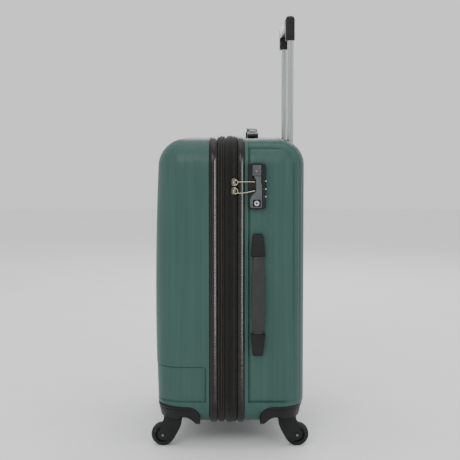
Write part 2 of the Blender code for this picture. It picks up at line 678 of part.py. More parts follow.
# ---------------------------------------------------------------- lock, zip sliders and pulls
def lock_body(face):
    outline = millimetres(
        (38, 515), (40, 512.6), (56, 511.2), (71.6, 512.6), (73.9, 515),
        (73.9, 603.4), (71.6, 606), (56, 607.8), (40, 606), (38, 603.4),
    )
    body = bevelled(prism("X", (face + FIT, face + LOCK_PROUD), outline), 0.0012, 1, 60)
    slots = [box((0.2, DIAL_Y - 0.0049, z - 0.0022), (0.3, 0.08, z + 0.0022)) for z in DIAL_HEIGHTS]
    key_hole = cylinder("X", (KEY_Y, KEY_Z), KEY_RADIUS + 0.0004, (0.2265, 0.3), 20)
    tip_holes = [
        box((0.2285, 0.0440, 0.5665), (0.3, 0.0532, 0.5712)),
        box((0.2285, 0.0440, 0.5490), (0.3, 0.0532, 0.5560)),
    ]
    cover_seat = prism("X", (face + LOCK_PROUD - 0.0014, 0.3), lock_cover_outline(FIT))
    button_seat = box((0.2272, 0.0466 - FIT, 0.5810 - FIT), (0.3, 0.0643 + FIT, 0.6033 + FIT))
    return cut(body, *slots, key_hole, *tip_holes, cover_seat, button_seat)


def lock_cover_outline(grow):
    """The stepped cover seen from +X, as (y, z), grown sideways and up or down."""
    points = millimetres(
        (49.0, 580.2), (64.3, 580.2), (64.3, 566.0), (66.0, 562.0), (66.0, 516.5), (64.0, 514.4),
        (44.0, 514.4), (41.8, 516.5), (41.8, 533.0), (46.0, 541.0), (54.0, 548.0), (54.0, 573.0),
    )
    middle = Vector((0.0555, 0.5470))
    away = [Vector(point) - middle for point in points]
    return [
        (y + math.copysign(grow, off.x), z + math.copysign(grow, off.y))
        for (y, z), off in zip(points, away)
    ]


def make_lock(back):
    face = HALF_WIDTH
    piece("lock_body", lock_body(face), "black_plastic", back)
    key_window = rounded((0.0470, 0.5168), (0.0638, 0.5318), 0.002, 1)
    cover_span = (face + LOCK_PROUD - 0.0014 + FIT, face + LOCK_FACE_PROUD)
    piece("lock_cover", prism("X", cover_span, lock_cover_outline(0.0), key_window), "lock_grey", back)
    button = pivot("lock_button_push", (face, 0.0555, 0.592), back)
    key = box_bmesh((0.2295, 0.0466, 0.5810), (face + LOCK_FACE_PROUD, 0.0643, 0.6033))
    round_edges(key, edges_at(key, x=face + LOCK_FACE_PROUD), 0.0008, 1)
    piece("lock_button", from_bmesh(key), "lock_grey", button)
    for number, height in enumerate(DIAL_HEIGHTS, 1):
        dial_place = (face + 0.0050, DIAL_Y)
        turning = pivot(f"dial_{number}_turn", (*dial_place, height), back)
        disc = cylinder("Z", dial_place, DIAL_RADIUS, (height - 0.0017, height + 0.0017), 18)
        piece(f"dial_{number}", disc, "steel", turning)
    turning = pivot("key_turn", (face, KEY_Y, KEY_Z), back)
    plug = cylinder("X", (KEY_Y, KEY_Z), KEY_RADIUS, (0.2268, face + LOCK_FACE_PROUD), 20)
    slot = box((0.2300, KEY_Y - 0.0006, KEY_Z - 0.0026), (0.3, KEY_Y + 0.0006, KEY_Z + 0.0026))
    piece("key_cylinder", cut(plug, slot), "steel", turning)


def slider_body(height):
    """A zip slider: a plate over the teeth and a low bridge along its middle."""
    low, high = HALF_WIDTH + BAND_PROUD + FIT, HALF_WIDTH + BAND_PROUD + 0.0028
    plate = prism("X", (low, high), rounded((0.0030, height - 0.0078), (0.0128, height + 0.0078), 0.003, 2))
    bridge_low = (high - 0.0005, ZIP_Y - 0.0014, height - 0.0050)
    bridge = box(bridge_low, (high + 0.0026, ZIP_Y + 0.0014, height + 0.0050))
    return joined(bevelled(plate, 0.0006, 1), bevelled(bridge, 0.0008, 1))


def pull_bar(points, half_width):
    """A thin metal pull through the given (y, z) points, with an eye plate at its start."""
    upper = [(y, z + half_width) for y, z in points]
    lower = [(y, z - half_width) for y, z in reversed(points)]
    span = (HALF_WIDTH + PULL_PROUD, HALF_WIDTH + PULL_PROUD + 0.0016)
    y, z = points[0]
    eye = rounded((y - 0.0030, z - 0.0034), (y + 0.0010, z + 0.0034), 0.0012, 2)
    return joined(prism("X", span, upper + lower), prism("X", span, eye))


def make_sliders(back):
    routes = {
        "upper": (0.5680, millimetres((13.9, 568.6), (51.5, 568.6))),
        "lower": (0.5497, millimetres((12.9, 545.0), (37.6, 547.2), (51.5, 550.2))),
    }
    for name, (height, route) in routes.items():
        sliding = pivot(name + "_slider_run", (HALF_WIDTH, ZIP_Y, height), back)
        piece(name + "_slider", slider_body(height), "brass", sliding)
        hinge = (HALF_WIDTH + PULL_PROUD, PULL_HINGE_Y, height)
        swing = pivot(name + "_pull_swing", hinge, sliding)
        piece(name + "_pull", pull_bar(route, 0.0010), "brass", swing)


# ---------------------------------------------------------------- the whole case
case = pivot("case", (CASE_SHIFT, 0.0, 0.0))
lid_frame = pivot("lid_frame", (*LID_AXIS, 0.0), case)
front_case = pivot("front_case", (0.0, FRONT_RIM, 0.0), lid_frame)

make_shells(case, front_case)
make_linings(case, front_case)
make_gusset(case, lid_frame, front_case)
for caster, sign, toward, carrier in (
    ("front_right", 1, -1, front_case),
    ("front_left", -1, -1, front_case),
    ("rear_right", 1, 1, case),
    ("rear_left", -1, 1, case),
):
    make_caster(caster, sign, toward, carrier)
make_trolley(case)
make_handles(case)
make_lock(case)
make_sliders(case)
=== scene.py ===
"""The finished look of the hard shell spinner suitcase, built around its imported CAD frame. Metres, +Z up."""

import json
import math

import bmesh
import bpy
import numpy as np
from mathutils import Matrix, Vector, noise

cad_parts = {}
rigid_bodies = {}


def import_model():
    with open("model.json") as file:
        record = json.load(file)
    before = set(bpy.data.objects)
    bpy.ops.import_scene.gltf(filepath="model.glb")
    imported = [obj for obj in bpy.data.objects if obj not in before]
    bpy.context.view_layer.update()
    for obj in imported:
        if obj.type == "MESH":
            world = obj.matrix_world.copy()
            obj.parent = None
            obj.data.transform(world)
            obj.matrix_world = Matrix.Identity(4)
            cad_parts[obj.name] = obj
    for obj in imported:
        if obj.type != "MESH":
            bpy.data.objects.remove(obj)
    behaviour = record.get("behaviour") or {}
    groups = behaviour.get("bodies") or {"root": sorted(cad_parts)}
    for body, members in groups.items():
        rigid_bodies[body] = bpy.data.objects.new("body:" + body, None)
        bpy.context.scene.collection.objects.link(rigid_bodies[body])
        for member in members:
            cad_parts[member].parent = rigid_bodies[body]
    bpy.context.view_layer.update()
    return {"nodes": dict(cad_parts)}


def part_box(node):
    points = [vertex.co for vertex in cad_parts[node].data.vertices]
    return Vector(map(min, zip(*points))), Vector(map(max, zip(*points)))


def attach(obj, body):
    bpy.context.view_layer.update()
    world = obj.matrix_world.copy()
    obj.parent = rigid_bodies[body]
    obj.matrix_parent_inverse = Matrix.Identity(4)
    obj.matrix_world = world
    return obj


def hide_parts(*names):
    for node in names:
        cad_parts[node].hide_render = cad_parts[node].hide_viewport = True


bpy.ops.object.select_all(action="SELECT")
bpy.ops.object.delete()
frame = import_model()

# ---------------------------------------------------------------- sizes, read from the frame
SHELL_LOW, SHELL_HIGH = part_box("back_shell")
MIDDLE_X = (SHELL_LOW.x + SHELL_HIGH.x) / 2
HALF_WIDTH = (SHELL_HIGH.x - SHELL_LOW.x) / 2
BOTTOM, TOP = SHELL_LOW.z, SHELL_HIGH.z
RADIUS = 0.056
FRONT_RIM, FRONT_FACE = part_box("front_shell")[1].y, -0.1514
BACK_RIM, BACK_FACE = SHELL_LOW.y, SHELL_HIGH.y
GAP = 0.0003
WALL = 0.0030
BAND_EDGE, BAND_LOW, BAND_TOP = -0.0504, 0.1030, 0.179  # the front shell's low band
PANEL_EDGE, PANEL_LOW = 0.0384, 0.1028  # the back shell's side panel
BEAD_Y, BEAD_Z = (0.1375, 0.148), (0.6405, 0.6496)
BOW, BOW_MIDDLE, BOW_REACH = 0.0070, 0.320, 0.294  # how far the front bulges, and where
RIBS, RIB_HALF, RIB_SPAN = (-0.126, -0.063, 0.0, 0.063, 0.126), 0.0100, (0.128, 0.548)


# ---------------------------------------------------------------- node materials
class Nodes:
    """Short calls for building one material's node tree."""

    def __init__(self, name, colour, roughness, metallic=0.0, **sockets):
        self.material = bpy.data.materials.new(name)
        self.material.use_nodes = True
        self.tree = self.material.node_tree
        self.shader = self.tree.nodes["Principled BSDF"]
        values = {"Base Color": (*colour, 1.0), "Roughness": roughness, "Metallic": metallic, **sockets}
        for socket, value in values.items():
            self.shader.inputs[socket].default_value = value
        self.place = self.add("ShaderNodeTexCoord").outputs["Object"]

    def add(self, kind, inputs=(), **settings):
        node = self.tree.nodes.new(kind)
        for key, value in settings.items():
            setattr(node, key, value)
        for key, value in dict(inputs).items():
            if isinstance(value, bpy.types.NodeSocket):
                self.tree.links.new(value, node.inputs[key])
            else:
                node.inputs[key].default_value = value
        return node

    def stretched(self, scale, turn=(0.0, 0.0, 0.0)):
        inputs = {"Vector": self.place, "Scale": scale, "Rotation": turn}
        return self.add("ShaderNodeMapping", inputs).outputs["Vector"]

    def noise(self, scale, stretch=(1.0, 1.0, 1.0), detail=3.0, turn=(0.0, 0.0, 0.0)):
        inputs = {"Vector": self.stretched(stretch, turn), "Scale": scale, "Detail": detail}
        return self.add("ShaderNodeTexNoise", inputs).outputs["Fac"]

    def waves(self, scale, direction, turn=(0.0, 0.0, 0.0), distortion=0.0):
        inputs = {"Vector": self.stretched((1, 1, 1), turn), "Scale": scale, "Distortion": distortion}
        return self.add("ShaderNodeTexWave", inputs, bands_direction=direction).outputs["Fac"]

    def math(self, operation, a, b):
        return self.add("ShaderNodeMath", {0: a, 1: b}, operation=operation).outputs[0]

    def spread(self, value, low, high):
        """value, which lies about 0.5, spread over low to high."""
        inputs = {"Value": value, "From Min": 0.3, "From Max": 0.7, "To Min": low, "To Max": high}
        return self.add("ShaderNodeMapRange", inputs).outputs["Result"]

    def mix(self, factor, a, b):
        inputs = {0: factor, 6: (*a, 1.0), 7: (*b, 1.0)}
        return self.add("ShaderNodeMix", inputs, data_type="RGBA").outputs[2]

    def colour(self, socket):
        self.tree.links.new(socket, self.shader.inputs["Base Color"])

    def roughness(self, socket):
        self.tree.links.new(socket, self.shader.inputs["Roughness"])

    def bump(self, height, strength, distance):
        inputs = {"Height": height, "Strength": strength, "Distance": distance}
        before = self.shader.inputs["Normal"].links
        if before:
            inputs["Normal"] = before[0].from_socket
        made = self.add("ShaderNodeBump", inputs)
        self.tree.links.new(made.outputs["Normal"], self.shader.inputs["Normal"])


def shell_material():
    """Moulded shell: fine vertical brushed lines under a satin lacquer, with faint mottling."""
    base = (0.026, 0.070, 0.062)
    coat = {"Specular IOR Level": 0.30}
    m = Nodes("green_shell_finish", base, 0.42, 0.0, **coat)
    hair = m.noise(900.0, (1.0, 1.0, 0.012), 4.0)
    streaks = m.noise(140.0, (1.0, 1.0, 0.02), 3.0)
    cloud = m.noise(9.0, (1.0, 1.0, 0.6), 2.0)
    shade = m.math("ADD", m.spread(streaks, 0.0, 0.55), m.spread(cloud, 0.0, 0.45))
    m.colour(m.mix(shade, (0.0245, 0.068, 0.058), (0.035, 0.089, 0.076)))
    m.roughness(m.spread(hair, 0.36, 0.50))
    m.bump(hair, 0.30, 0.0004)
    m.bump(m.noise(35.0, (1.0, 1.0, 0.35), 2.0), 0.06, 0.002)
    return m.material


def plastic_material(name, colour, roughness, grain=1400.0, strength=0.22, **sockets):
    m = Nodes(name, colour, roughness, 0.0, **sockets)
    spots = m.noise(grain, detail=2.0)
    lighter = tuple(c * 1.35 + 0.003 for c in colour)
    m.colour(m.mix(m.spread(m.noise(30.0), 0.0, 1.0), colour, lighter))
    m.roughness(m.spread(spots, roughness - 0.06, roughness + 0.10))
    m.bump(spots, strength, 0.0003)
    return m.material


def trim_material():
    """Soft glossy piping, a little uneven, with dust in its finish."""
    m = Nodes("black_trim_finish", (0.005, 0.0052, 0.0048), 0.18, 0.0, **{"Specular IOR Level": 0.28})
    m.colour(m.mix(m.spread(m.noise(60.0), 0.0, 1.0), (0.004, 0.0042, 0.0038), (0.007, 0.0072, 0.0064)))
    m.roughness(m.spread(m.noise(90.0), 0.25, 0.29))
    m.bump(m.noise(14.0, (1.0, 1.0, 0.35), 1.0), 0.05, 0.003)
    return m.material


def cloth_material(name, dark, light, pitch, sheen=0.25, along="Z", across="Y"):
    """A plain weave: two crossed sets of threads, with soft shade variation and a low sheen."""
    sockets = {"Sheen Weight": sheen, "Sheen Roughness": 0.5, "Specular IOR Level": 0.25}
    m = Nodes(name, dark, 0.9, 0.0, **sockets)
    warp = m.waves(pitch, along, distortion=0.6)
    weft = m.waves(pitch, across, distortion=0.6)
    weave = m.math("MULTIPLY", warp, weft)
    cloud = m.noise(45.0, detail=4.0)
    blend = m.math("ADD", m.math("MULTIPLY", weave, 0.5), m.spread(cloud, 0.0, 0.5))
    m.colour(m.mix(blend, dark, light))
    m.roughness(m.spread(cloud, 0.80, 0.96))
    m.bump(weave, 0.5, 0.0006)
    m.bump(m.noise(160.0, detail=3.0), 0.25, 0.001)
    return m.material


def metal_material(name, colour, roughness, stretch, strength=0.10, low=0.9):
    """Bare or plated metal with drawing marks along its length."""
    m = Nodes(name, colour, roughness, 1.0)
    marks = m.noise(1100.0, stretch, 3.0)
    darker = tuple(c * low for c in colour)
    m.colour(m.mix(m.spread(marks, 0.0, 1.0), darker, colour))
    m.roughness(m.spread(m.noise(300.0, stretch), roughness - 0.05, roughness + 0.09))
    m.bump(marks, strength, 0.0002)
    return m.material


DULL = {"Specular IOR Level": 0.24}
LOOKS = {
    "green_shell": shell_material(),
    "black_plastic": plastic_material("black_plastic_finish", (0.006, 0.0064, 0.0062), 0.44, **DULL),
    "black_trim": trim_material(),
    "black_fabric": cloth_material("gusset_cloth", (0.004, 0.0038, 0.003), (0.011, 0.0104, 0.0082), 420,
                                   0.12),
    "zip_tape": cloth_material("zip_tape_cloth", (0.004, 0.0038, 0.0031), (0.01, 0.0096, 0.008), 620, 0.12),
    "lining": cloth_material("lining_cloth", (0.040, 0.041, 0.045), (0.078, 0.080, 0.087), 300.0, 0.5, "X"),
    "tyre": plastic_material("tyre_finish", (0.010, 0.011, 0.012), 0.50, 900.0, 0.3, **DULL),
    "rubber_grip": plastic_material("rubber_grip_finish", (0.008, 0.0085, 0.009), 0.46, 1800.0, 0.25),
    "aluminium": metal_material("aluminium_finish", (0.44, 0.47, 0.46), 0.27, (1.0, 1.0, 0.01)),
    "silver_plastic": metal_material("silver_plate_finish", (0.42, 0.43, 0.43), 0.30, (0.2, 1.0, 1.0), 0.05),
    "dull_silver": metal_material("dull_silver_finish", (0.20, 0.205, 0.205), 0.36, (1.0, 0.2, 1.0), 0.05),
    "lock_grey": plastic_material("lock_grey_finish", (0.062, 0.073, 0.076), 0.34, 1500.0, 0.12, **DULL),
    "steel": metal_material("steel_finish", (0.66, 0.66, 0.65), 0.20, (1.0, 1.0, 1.0), 0.05),
    "brass": metal_material("pale_gold_finish", (0.60, 0.55, 0.40), 0.27, (1.0, 0.3, 1.0), 0.06),
}


# ---------------------------------------------------------------- mesh helpers
def add_piece(name, mesh, slot, body, replaced=(), sharp=35.0, look=None):
    """A finished piece: smooth shading, its material, the body it rides on and the nodes it stands for."""
    mesh.materials.clear()
    mesh.materials.append(look or LOOKS[slot])
    mesh.shade_smooth()
    mesh.set_sharp_from_angle(angle=math.radians(sharp))
    obj = bpy.data.objects.new(name, mesh)
    bpy.context.scene.collection.objects.link(obj)
    if replaced:
        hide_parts(*replaced)
    if body:
        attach(obj, body)
    return obj


def from_bmesh(bm):
    bmesh.ops.remove_doubles(bm, verts=bm.verts, dist=2e-6)
    bmesh.ops.recalc_face_normals(bm, faces=bm.faces)
    if bm.calc_volume(signed=True) < 0:
        bmesh.ops.reverse_faces(bm, faces=bm.faces)
    mesh = bpy.data.meshes.new("mesh")
    bm.to_mesh(mesh)
    bm.free()
    return mesh


def loose(data, matrix=None):
    obj = bpy.data.objects.new("temporary", data)
    obj.matrix_world = matrix or Matrix.Identity(4)
    bpy.context.scene.collection.objects.link(obj)
    return obj


def evaluated_mesh(obj):
    bpy.context.view_layer.update()
    graph = bpy.context.evaluated_depsgraph_get()
    mesh = bpy.data.meshes.new_from_object(obj.evaluated_get(graph))
    mesh.transform(obj.matrix_world)
    bpy.data.objects.remove(obj, do_unlink=True)
    return mesh_copy(mesh)


def modified(mesh, kind, **settings):
    obj = loose(mesh)
    modifier = obj.modifiers.new(kind.lower(), kind)
    for key, value in settings.items():
        setattr(modifier, key, value)
    return evaluated_mesh(obj)


def boolean(mesh, others, operation):
    for other in others:
        tool = loose(other)
        mesh = modified(mesh, "BOOLEAN", operation=operation, object=tool)
        bpy.data.objects.remove(tool, do_unlink=True)
    return mesh


def cut(mesh, *others):
    return boolean(mesh, others, "DIFFERENCE")


def joined(mesh, *others):
    return boolean(mesh, others, "UNION")


def bevelled(mesh, width, segments=3, angle=35.0):
    limit = math.radians(angle)
    return modified(mesh, "BEVEL", width=width, segments=segments, limit_method="ANGLE", angle_limit=limit)


def thickened(mesh, thickness):
    return modified(mesh, "SOLIDIFY", thickness=thickness, offset=-1.0, use_even_offset=True)


PLANES = {
    "X": Matrix(((0, 0, 1, 0), (1, 0, 0, 0), (0, 1, 0, 0), (0, 0, 0, 1))),
    "Y": Matrix(((1, 0, 0, 0), (0, 0, -1, 0), (0, 1, 0, 0), (0, 0, 0, 1))),
    "Z": Matrix.Identity(4),
}


def prism(axis, span, *outlines):
    """A flat outline, with any further outlines as holes, made solid over span along axis."""
    curve = bpy.data.curves.new("outline", "CURVE")
    curve.dimensions = "2D"
    curve.fill_mode = "BOTH"
    curve.extrude = (span[1] - span[0]) / 2
    for outline in outlines:
        spline = curve.splines.new("POLY")
        spline.points.add(len(outline) - 1)
        for point, (u, v) in zip(spline.points, outline):
            point.co = (u, v, 0.0, 1.0)
        spline.use_cyclic_u = True
    middle = (span[0] + span[1]) / 2
    offset = Vector([middle if letter == axis else 0.0 for letter in "XYZ"])
    return evaluated_mesh(loose(curve, Matrix.Translation(offset) @ PLANES[axis]))


def box_bmesh(low, high):
    low, high = Vector(low), Vector(high)
    bm = bmesh.new()
    bmesh.ops.create_cube(bm, size=1.0)
    bmesh.ops.scale(bm, vec=high - low, verts=bm.verts)
    bmesh.ops.translate(bm, vec=(low + high) / 2, verts=bm.verts)
    return bm


def box(low, high):
    return from_bmesh(box_bmesh(low, high))


def edges_at(bm, **faces):
    wanted = [("xyz".index(axis), value) for axis, value in faces.items()]
    return [e for e in bm.edges if all(abs(v.co[i] - t) < 1e-5 for v in e.verts for i, t in wanted)]


def round_edges(bm, edges, radius, steps):
    bmesh.ops.bevel(bm, geom=edges, offset=radius, segments=steps, profile=0.5, affect="EDGES")


def cylinder(axis, centre, radius, span, steps=32):
    turns = {"X": Matrix.Rotation(math.pi / 2, 4, "Y"), "Y": Matrix.Rotation(-math.pi / 2, 4, "X")}
    place = list(centre)
    place.insert("XYZ".index(axis), (span[0] + span[1]) / 2)
    bm = bmesh.new()
    depth = span[1] - span[0]
    bmesh.ops.create_cone(bm, cap_ends=True, segments=steps, radius1=radius, radius2=radius, depth=depth)
    turn = turns.get(axis, Matrix.Identity(4))
    bmesh.ops.transform(bm, matrix=Matrix.Translation(place) @ turn, verts=bm.verts)
    return from_bmesh(bm)


def turned(side, place, steps=72):
    """One side's (radius, height) points, mirrored, closed and turned about an X axis through place."""
    profile = side + [(radius, -height) for radius, height in reversed(side)]
    bm = bmesh.new()
    points = [bm.verts.new((radius, 0.0, height)) for radius, height in profile]
    for pair in zip(points, points[1:] + points[:1]):
        bm.edges.new(pair)
    mesh = bpy.data.meshes.new("profile")
    bm.to_mesh(mesh)
    bm.free()
    settings = {"steps": steps, "render_steps": steps, "use_merge_vertices": True, "merge_threshold": 1e-5}
    made = modified(mesh, "SCREW", **settings)
    made.transform(Matrix.Translation(place) @ Matrix.Rotation(math.pi / 2, 4, "Y"))
    return made


def arc(centre, radius, start, end, steps):
    turns = [math.radians(start + (end - start) * i / steps) for i in range(steps + 1)]
    return [(centre[0] + radius * math.cos(t), centre[1] + radius * math.sin(t)) for t in turns]


def rounded(low, high, radius, steps=5):
    (u0, v0), (u1, v1) = low, high
    corners = (
        ((u0 + radius, v1 - radius), 180),
        ((u1 - radius, v1 - radius), 90),
        ((u1 - radius, v0 + radius), 0),
        ((u0 + radius, v0 + radius), -90),
    )
    return [p for centre, start in corners for p in arc(centre, radius, start, start - 90, steps)]


def millimetres(*points):
    return [(u / 1000, v / 1000) for u, v in points]


def steps_between(start, end, size):
    """Evenly spaced values from start up to, but not with, end."""
    count = max(1, round(abs(end - start) / size))
    return [start + (end - start) * i / count for i in range(count)]


def grid_mesh(rows):
    """A surface through rows of points, all of one length."""
    rows = np.asarray(rows, float)
    levels, columns = rows.shape[:2]
    index = np.arange(levels * columns).reshape(levels, columns)
    quads = np.stack([index[:-1, :-1], index[:-1, 1:], index[1:, 1:], index[1:, :-1]], -1).reshape(-1, 4)
    mesh = bpy.data.meshes.new("grid")
    mesh.from_pydata(rows.reshape(-1, 3).tolist(), [], quads.tolist())
    bm = bmesh.new()
    bm.from_mesh(mesh)
    bmesh.ops.remove_doubles(bm, verts=bm.verts, dist=1e-5)
    bmesh.ops.recalc_face_normals(bm, faces=bm.faces)
    bm.to_mesh(mesh)
    bm.free()
    return mesh


def looped(rows, closed):
    """A closed piece through rows of equal count, each a loop; the rows close up, or both ends are capped."""
    count, levels = len(rows[0]), len(rows)
    faces = []
    for i in range(levels if closed else levels - 1):
        a, b = i * count, (i + 1) % levels * count
        faces += [(a + j, a + (j + 1) % count, b + (j + 1) % count, b + j) for j in range(count)]
    if not closed:
        faces += [tuple(range(count)), tuple((levels - 1) * count + j for j in range(count))]
    mesh = bpy.data.meshes.new("looped")
    mesh.from_pydata([point for row in rows for point in row], [], faces)
    return mesh_copy(mesh)


def mesh_copy(mesh):
    """A cleaned copy, its faces outward."""
    bm = bmesh.new()
    bm.from_mesh(mesh)
    return from_bmesh(bm)


def smooth_step(value, width):
    """0 below -width, 1 above width, and smooth between."""
    share = np.clip(value / width * 0.5 + 0.5, 0.0, 1.0)
    return share * share * (3 - 2 * share)


def depth_inside(u, v, low, high, radius):
    """How far points lie inside a rectangle with round corners: negative outside."""
    middle = ((low[0] + high[0]) / 2, (low[1] + high[1]) / 2)
    du = np.abs(u - middle[0]) - (high[0] - low[0]) / 2 + radius
    dv = np.abs(v - middle[1]) - (high[1] - low[1]) / 2 + radius
    outside = np.hypot(np.maximum(du, 0), np.maximum(dv, 0))
    return radius - outside - np.minimum(np.maximum(du, dv), 0)


# ---------------------------------------------------------------- moulded shells
def stations(marks, low, high, coarse, fine=0.0006, reach=3):
    """Values from low to high, at most coarse apart, and closer about each mark."""
    values = {low, high}
    for mark in marks:
        for i in range(-reach, reach + 1):
            values.add(mark + i * fine)
    values = sorted(v for v in values if low <= v <= high)
    filled = []
    for start, end in zip(values, values[1:]):
        if end - start > 1e-7:
            filled += steps_between(start, end, coarse if end - start > coarse else end - start)
    return filled + [high]


def section(z, end, face, rim, columns):
    """One level of a half shell: points and outward horizontal directions round its U, from +X to -X."""
    over = max(z - (TOP - RADIUS), (BOTTOM + RADIUS) - z, 0.0)
    radius = math.sqrt(max(RADIUS**2 - over**2, 0.0))
    side, turn_y = HALF_WIDTH - RADIUS + radius, face - end * RADIUS
    half = []
    for kind, t in columns:
        if kind == "side":
            half.append(((side, rim + (turn_y - rim) * t), (1.0, 0.0)))
        elif kind == "corner":
            c, s = math.cos(t), math.sin(t)
            half.append(((HALF_WIDTH - RADIUS + radius * c, turn_y + end * radius * s), (c, end * s)))
        else:
            half.append((((HALF_WIDTH - RADIUS) * (1 - t), turn_y + end * radius), (0.0, float(end))))
    mirrored = [((-x, y), (-nx, ny)) for (x, y), (nx, ny) in reversed(half[:-1])]
    return half + mirrored, math.copysign(over, z - 0.3), radius


def shell_surface(end, face, rim, side_marks, corner_marks, level_marks, face_steps):
    """The plain outer form of a half shell, as rows of points and normals."""
    length = abs(face - end * RADIUS - rim)
    side = [abs(mark - rim) / length for mark in side_marks]
    columns = [("side", t) for t in stations(side, 0.0, 1.0, 0.0055 / length, 0.0006 / length)[:-1]]
    columns += [("corner", t) for t in stations(corner_marks, 0.0, math.pi / 2, 0.075, 0.012)[:-1]]
    columns += [("face", t) for t in face_steps]
    rise = math.pi / 2 / 18
    levels = [BOTTOM + RADIUS * (1 - math.cos(i * rise)) for i in range(19)]
    levels += [TOP - RADIUS * (1 - math.cos(i * rise)) for i in range(19)]
    levels += stations(level_marks, BOTTOM + RADIUS, TOP - RADIUS, 0.0060)
    for mark in level_marks:
        levels += [mark + i * 0.0006 for i in range(-3, 4)]
    levels = sorted({round(z, 6) for z in levels})
    levels = [levels[0]] + [b for a, b in zip(levels, levels[1:]) if b - a > 2.5e-4]
    points, normals = [], []
    for z in levels:
        row, over, radius = section(z, end, face, rim, columns)
        slope, level = over / RADIUS, radius / RADIUS
        points.append([(x, y, z) for (x, y), _ in row])
        normals.append([(nx * level, ny * level, slope) for _, (nx, ny) in row])
    for flat, z, up in ((0, BOTTOM, -1.0), (-1, TOP, 1.0)):
        edge = np.array(points[flat])
        caps = []
        for share in (0.97, 0.93, 0.86, 0.76, 0.64, 0.52, 0.40, 0.28, 0.16, 0.07, 0.0):
            shrunk = edge.copy()
            shrunk[:, 0] = edge[:, 0] * share
            shrunk[:, 1] = rim + (edge[:, 1] - rim) * share
            caps.append((shrunk.tolist(), [(0.0, 0.0, up)] * len(edge)))
        for row, upright in caps:
            points = [row] + points if flat == 0 else points + [row]
            normals = [upright] + normals if flat == 0 else normals + [upright]
    return np.array(points), np.array(normals)


def crease(inside):
    """The sharp line at the foot of a moulded step."""
    return np.exp(-(((inside - 0.0012) / 0.0010) ** 2))


def front_sinking(p, n):
    """How deep the front shell's low band lies: it runs right round the shell."""
    y, z = p[..., 1], p[..., 2]
    inside = depth_inside(-y, z, (-BAND_EDGE, 0.0), (0.5, BAND_TOP), 0.006)
    inside = np.minimum(inside, z - BAND_LOW)
    depth = 0.0010 + 0.0015 * smooth_step(np.abs(n[..., 0]) - 0.55, 0.35)
    return depth * smooth_step(inside, 0.0009) + 0.0013 * crease(inside)


def back_sinking(p, n):
    """The back shell's side panels, each in a bead between two steps, and its ribbed back."""
    y, z = p[..., 1], p[..., 2]
    outer = depth_inside(y, z, (-0.5, -0.5), (BEAD_Y[1], BEAD_Z[1]), 0.052)
    inner = depth_inside(y, z, (-0.5, -0.5), (BEAD_Y[0], BEAD_Z[0]), 0.043)
    square = np.minimum(y - PANEL_EDGE, z - PANEL_LOW)
    fade = 0.40 + 0.60 * smooth_step(z - 0.26, 0.10)
    right = smooth_step(y - 0.118, 0.012) * smooth_step(0.60 - z, 0.02)
    strength = 1 - right * (1 - fade)
    bead = np.minimum(outer, square)
    panel = np.minimum(inner, square)
    sides = 0.0015 * smooth_step(bead, 0.0009) + 0.0019 * smooth_step(panel, 0.0009)
    sides += 0.0018 * crease(np.where(square < inner, square, 1.0)) + 0.0014 * crease(inner) * (square > 0)
    sides -= 0.0013 * np.exp(-(((outer - 0.0052) / 0.0024) ** 2)) * (square > 0.0008)
    sides *= strength
    ribs = np.zeros_like(y)
    for centre in RIBS:
        ribs += 0.0011 * smooth_step(RIB_HALF - np.abs(p[..., 0] - centre), 0.0016)
    along = smooth_step(z - RIB_SPAN[0], 0.003) * smooth_step(RIB_SPAN[1] - z, 0.003)
    return sides * (np.abs(n[..., 0]) > 0.02) + ribs * along * (n[..., 1] > 0.98)


def front_bow(p):
    depth = abs(FRONT_FACE - FRONT_RIM)
    reach = np.clip((FRONT_RIM - p[..., 1] - (depth - RADIUS)) / RADIUS, 0.0, None)
    p[..., 1] -= BOW * reach * (1 - ((p[..., 2] - BOW_MIDDLE) / BOW_REACH) ** 2)
    return p


def housing_block(grow, foot_radius=0.0):
    """A caster housing's outer form in the +X front corner, grown on every side."""
    margin = Vector((grow, grow, grow))
    low, high = Vector((0.138, -0.1532, BOTTOM)) - margin, Vector((0.223, -0.0636, 0.0935)) + margin
    bm = box_bmesh(low, high)
    upright, lean = edges_at(bm, x=high.x, y=low.y), 0.0085
    for v in bm.verts:
        if v.co.z < high.z:
            v.co.x = min(v.co.x, high.x - lean)
            v.co.y = max(v.co.y, low.y + lean)
    round_edges(bm, upright, 0.048, 10)
    round_edges(bm, edges_at(bm, x=low.x, z=high.z) + edges_at(bm, y=high.y, z=high.z), 0.028, 8)
    if foot_radius:
        inner_ends = set(edges_at(bm, x=low.x, z=low.z) + edges_at(bm, y=high.y, z=low.z))
        round_edges(bm, [e for e in edges_at(bm, z=low.z) if e not in inner_ends], foot_radius, 8)
    return from_bmesh(bm)


def at_corner(mesh, side, end):
    """A copy of a mesh made for the +X front corner, at side (+1 or -1 in X) and end (-1 is front)."""
    bm = bmesh.new()
    bm.from_mesh(mesh)
    bmesh.ops.scale(bm, vec=(side, -end, 1.0), verts=bm.verts)
    return from_bmesh(bm)


def in_case(mesh):
    """From the case's own middle to the frame's."""
    mesh.transform(Matrix.Translation((MIDDLE_X, 0.0, 0.0)))
    return mesh


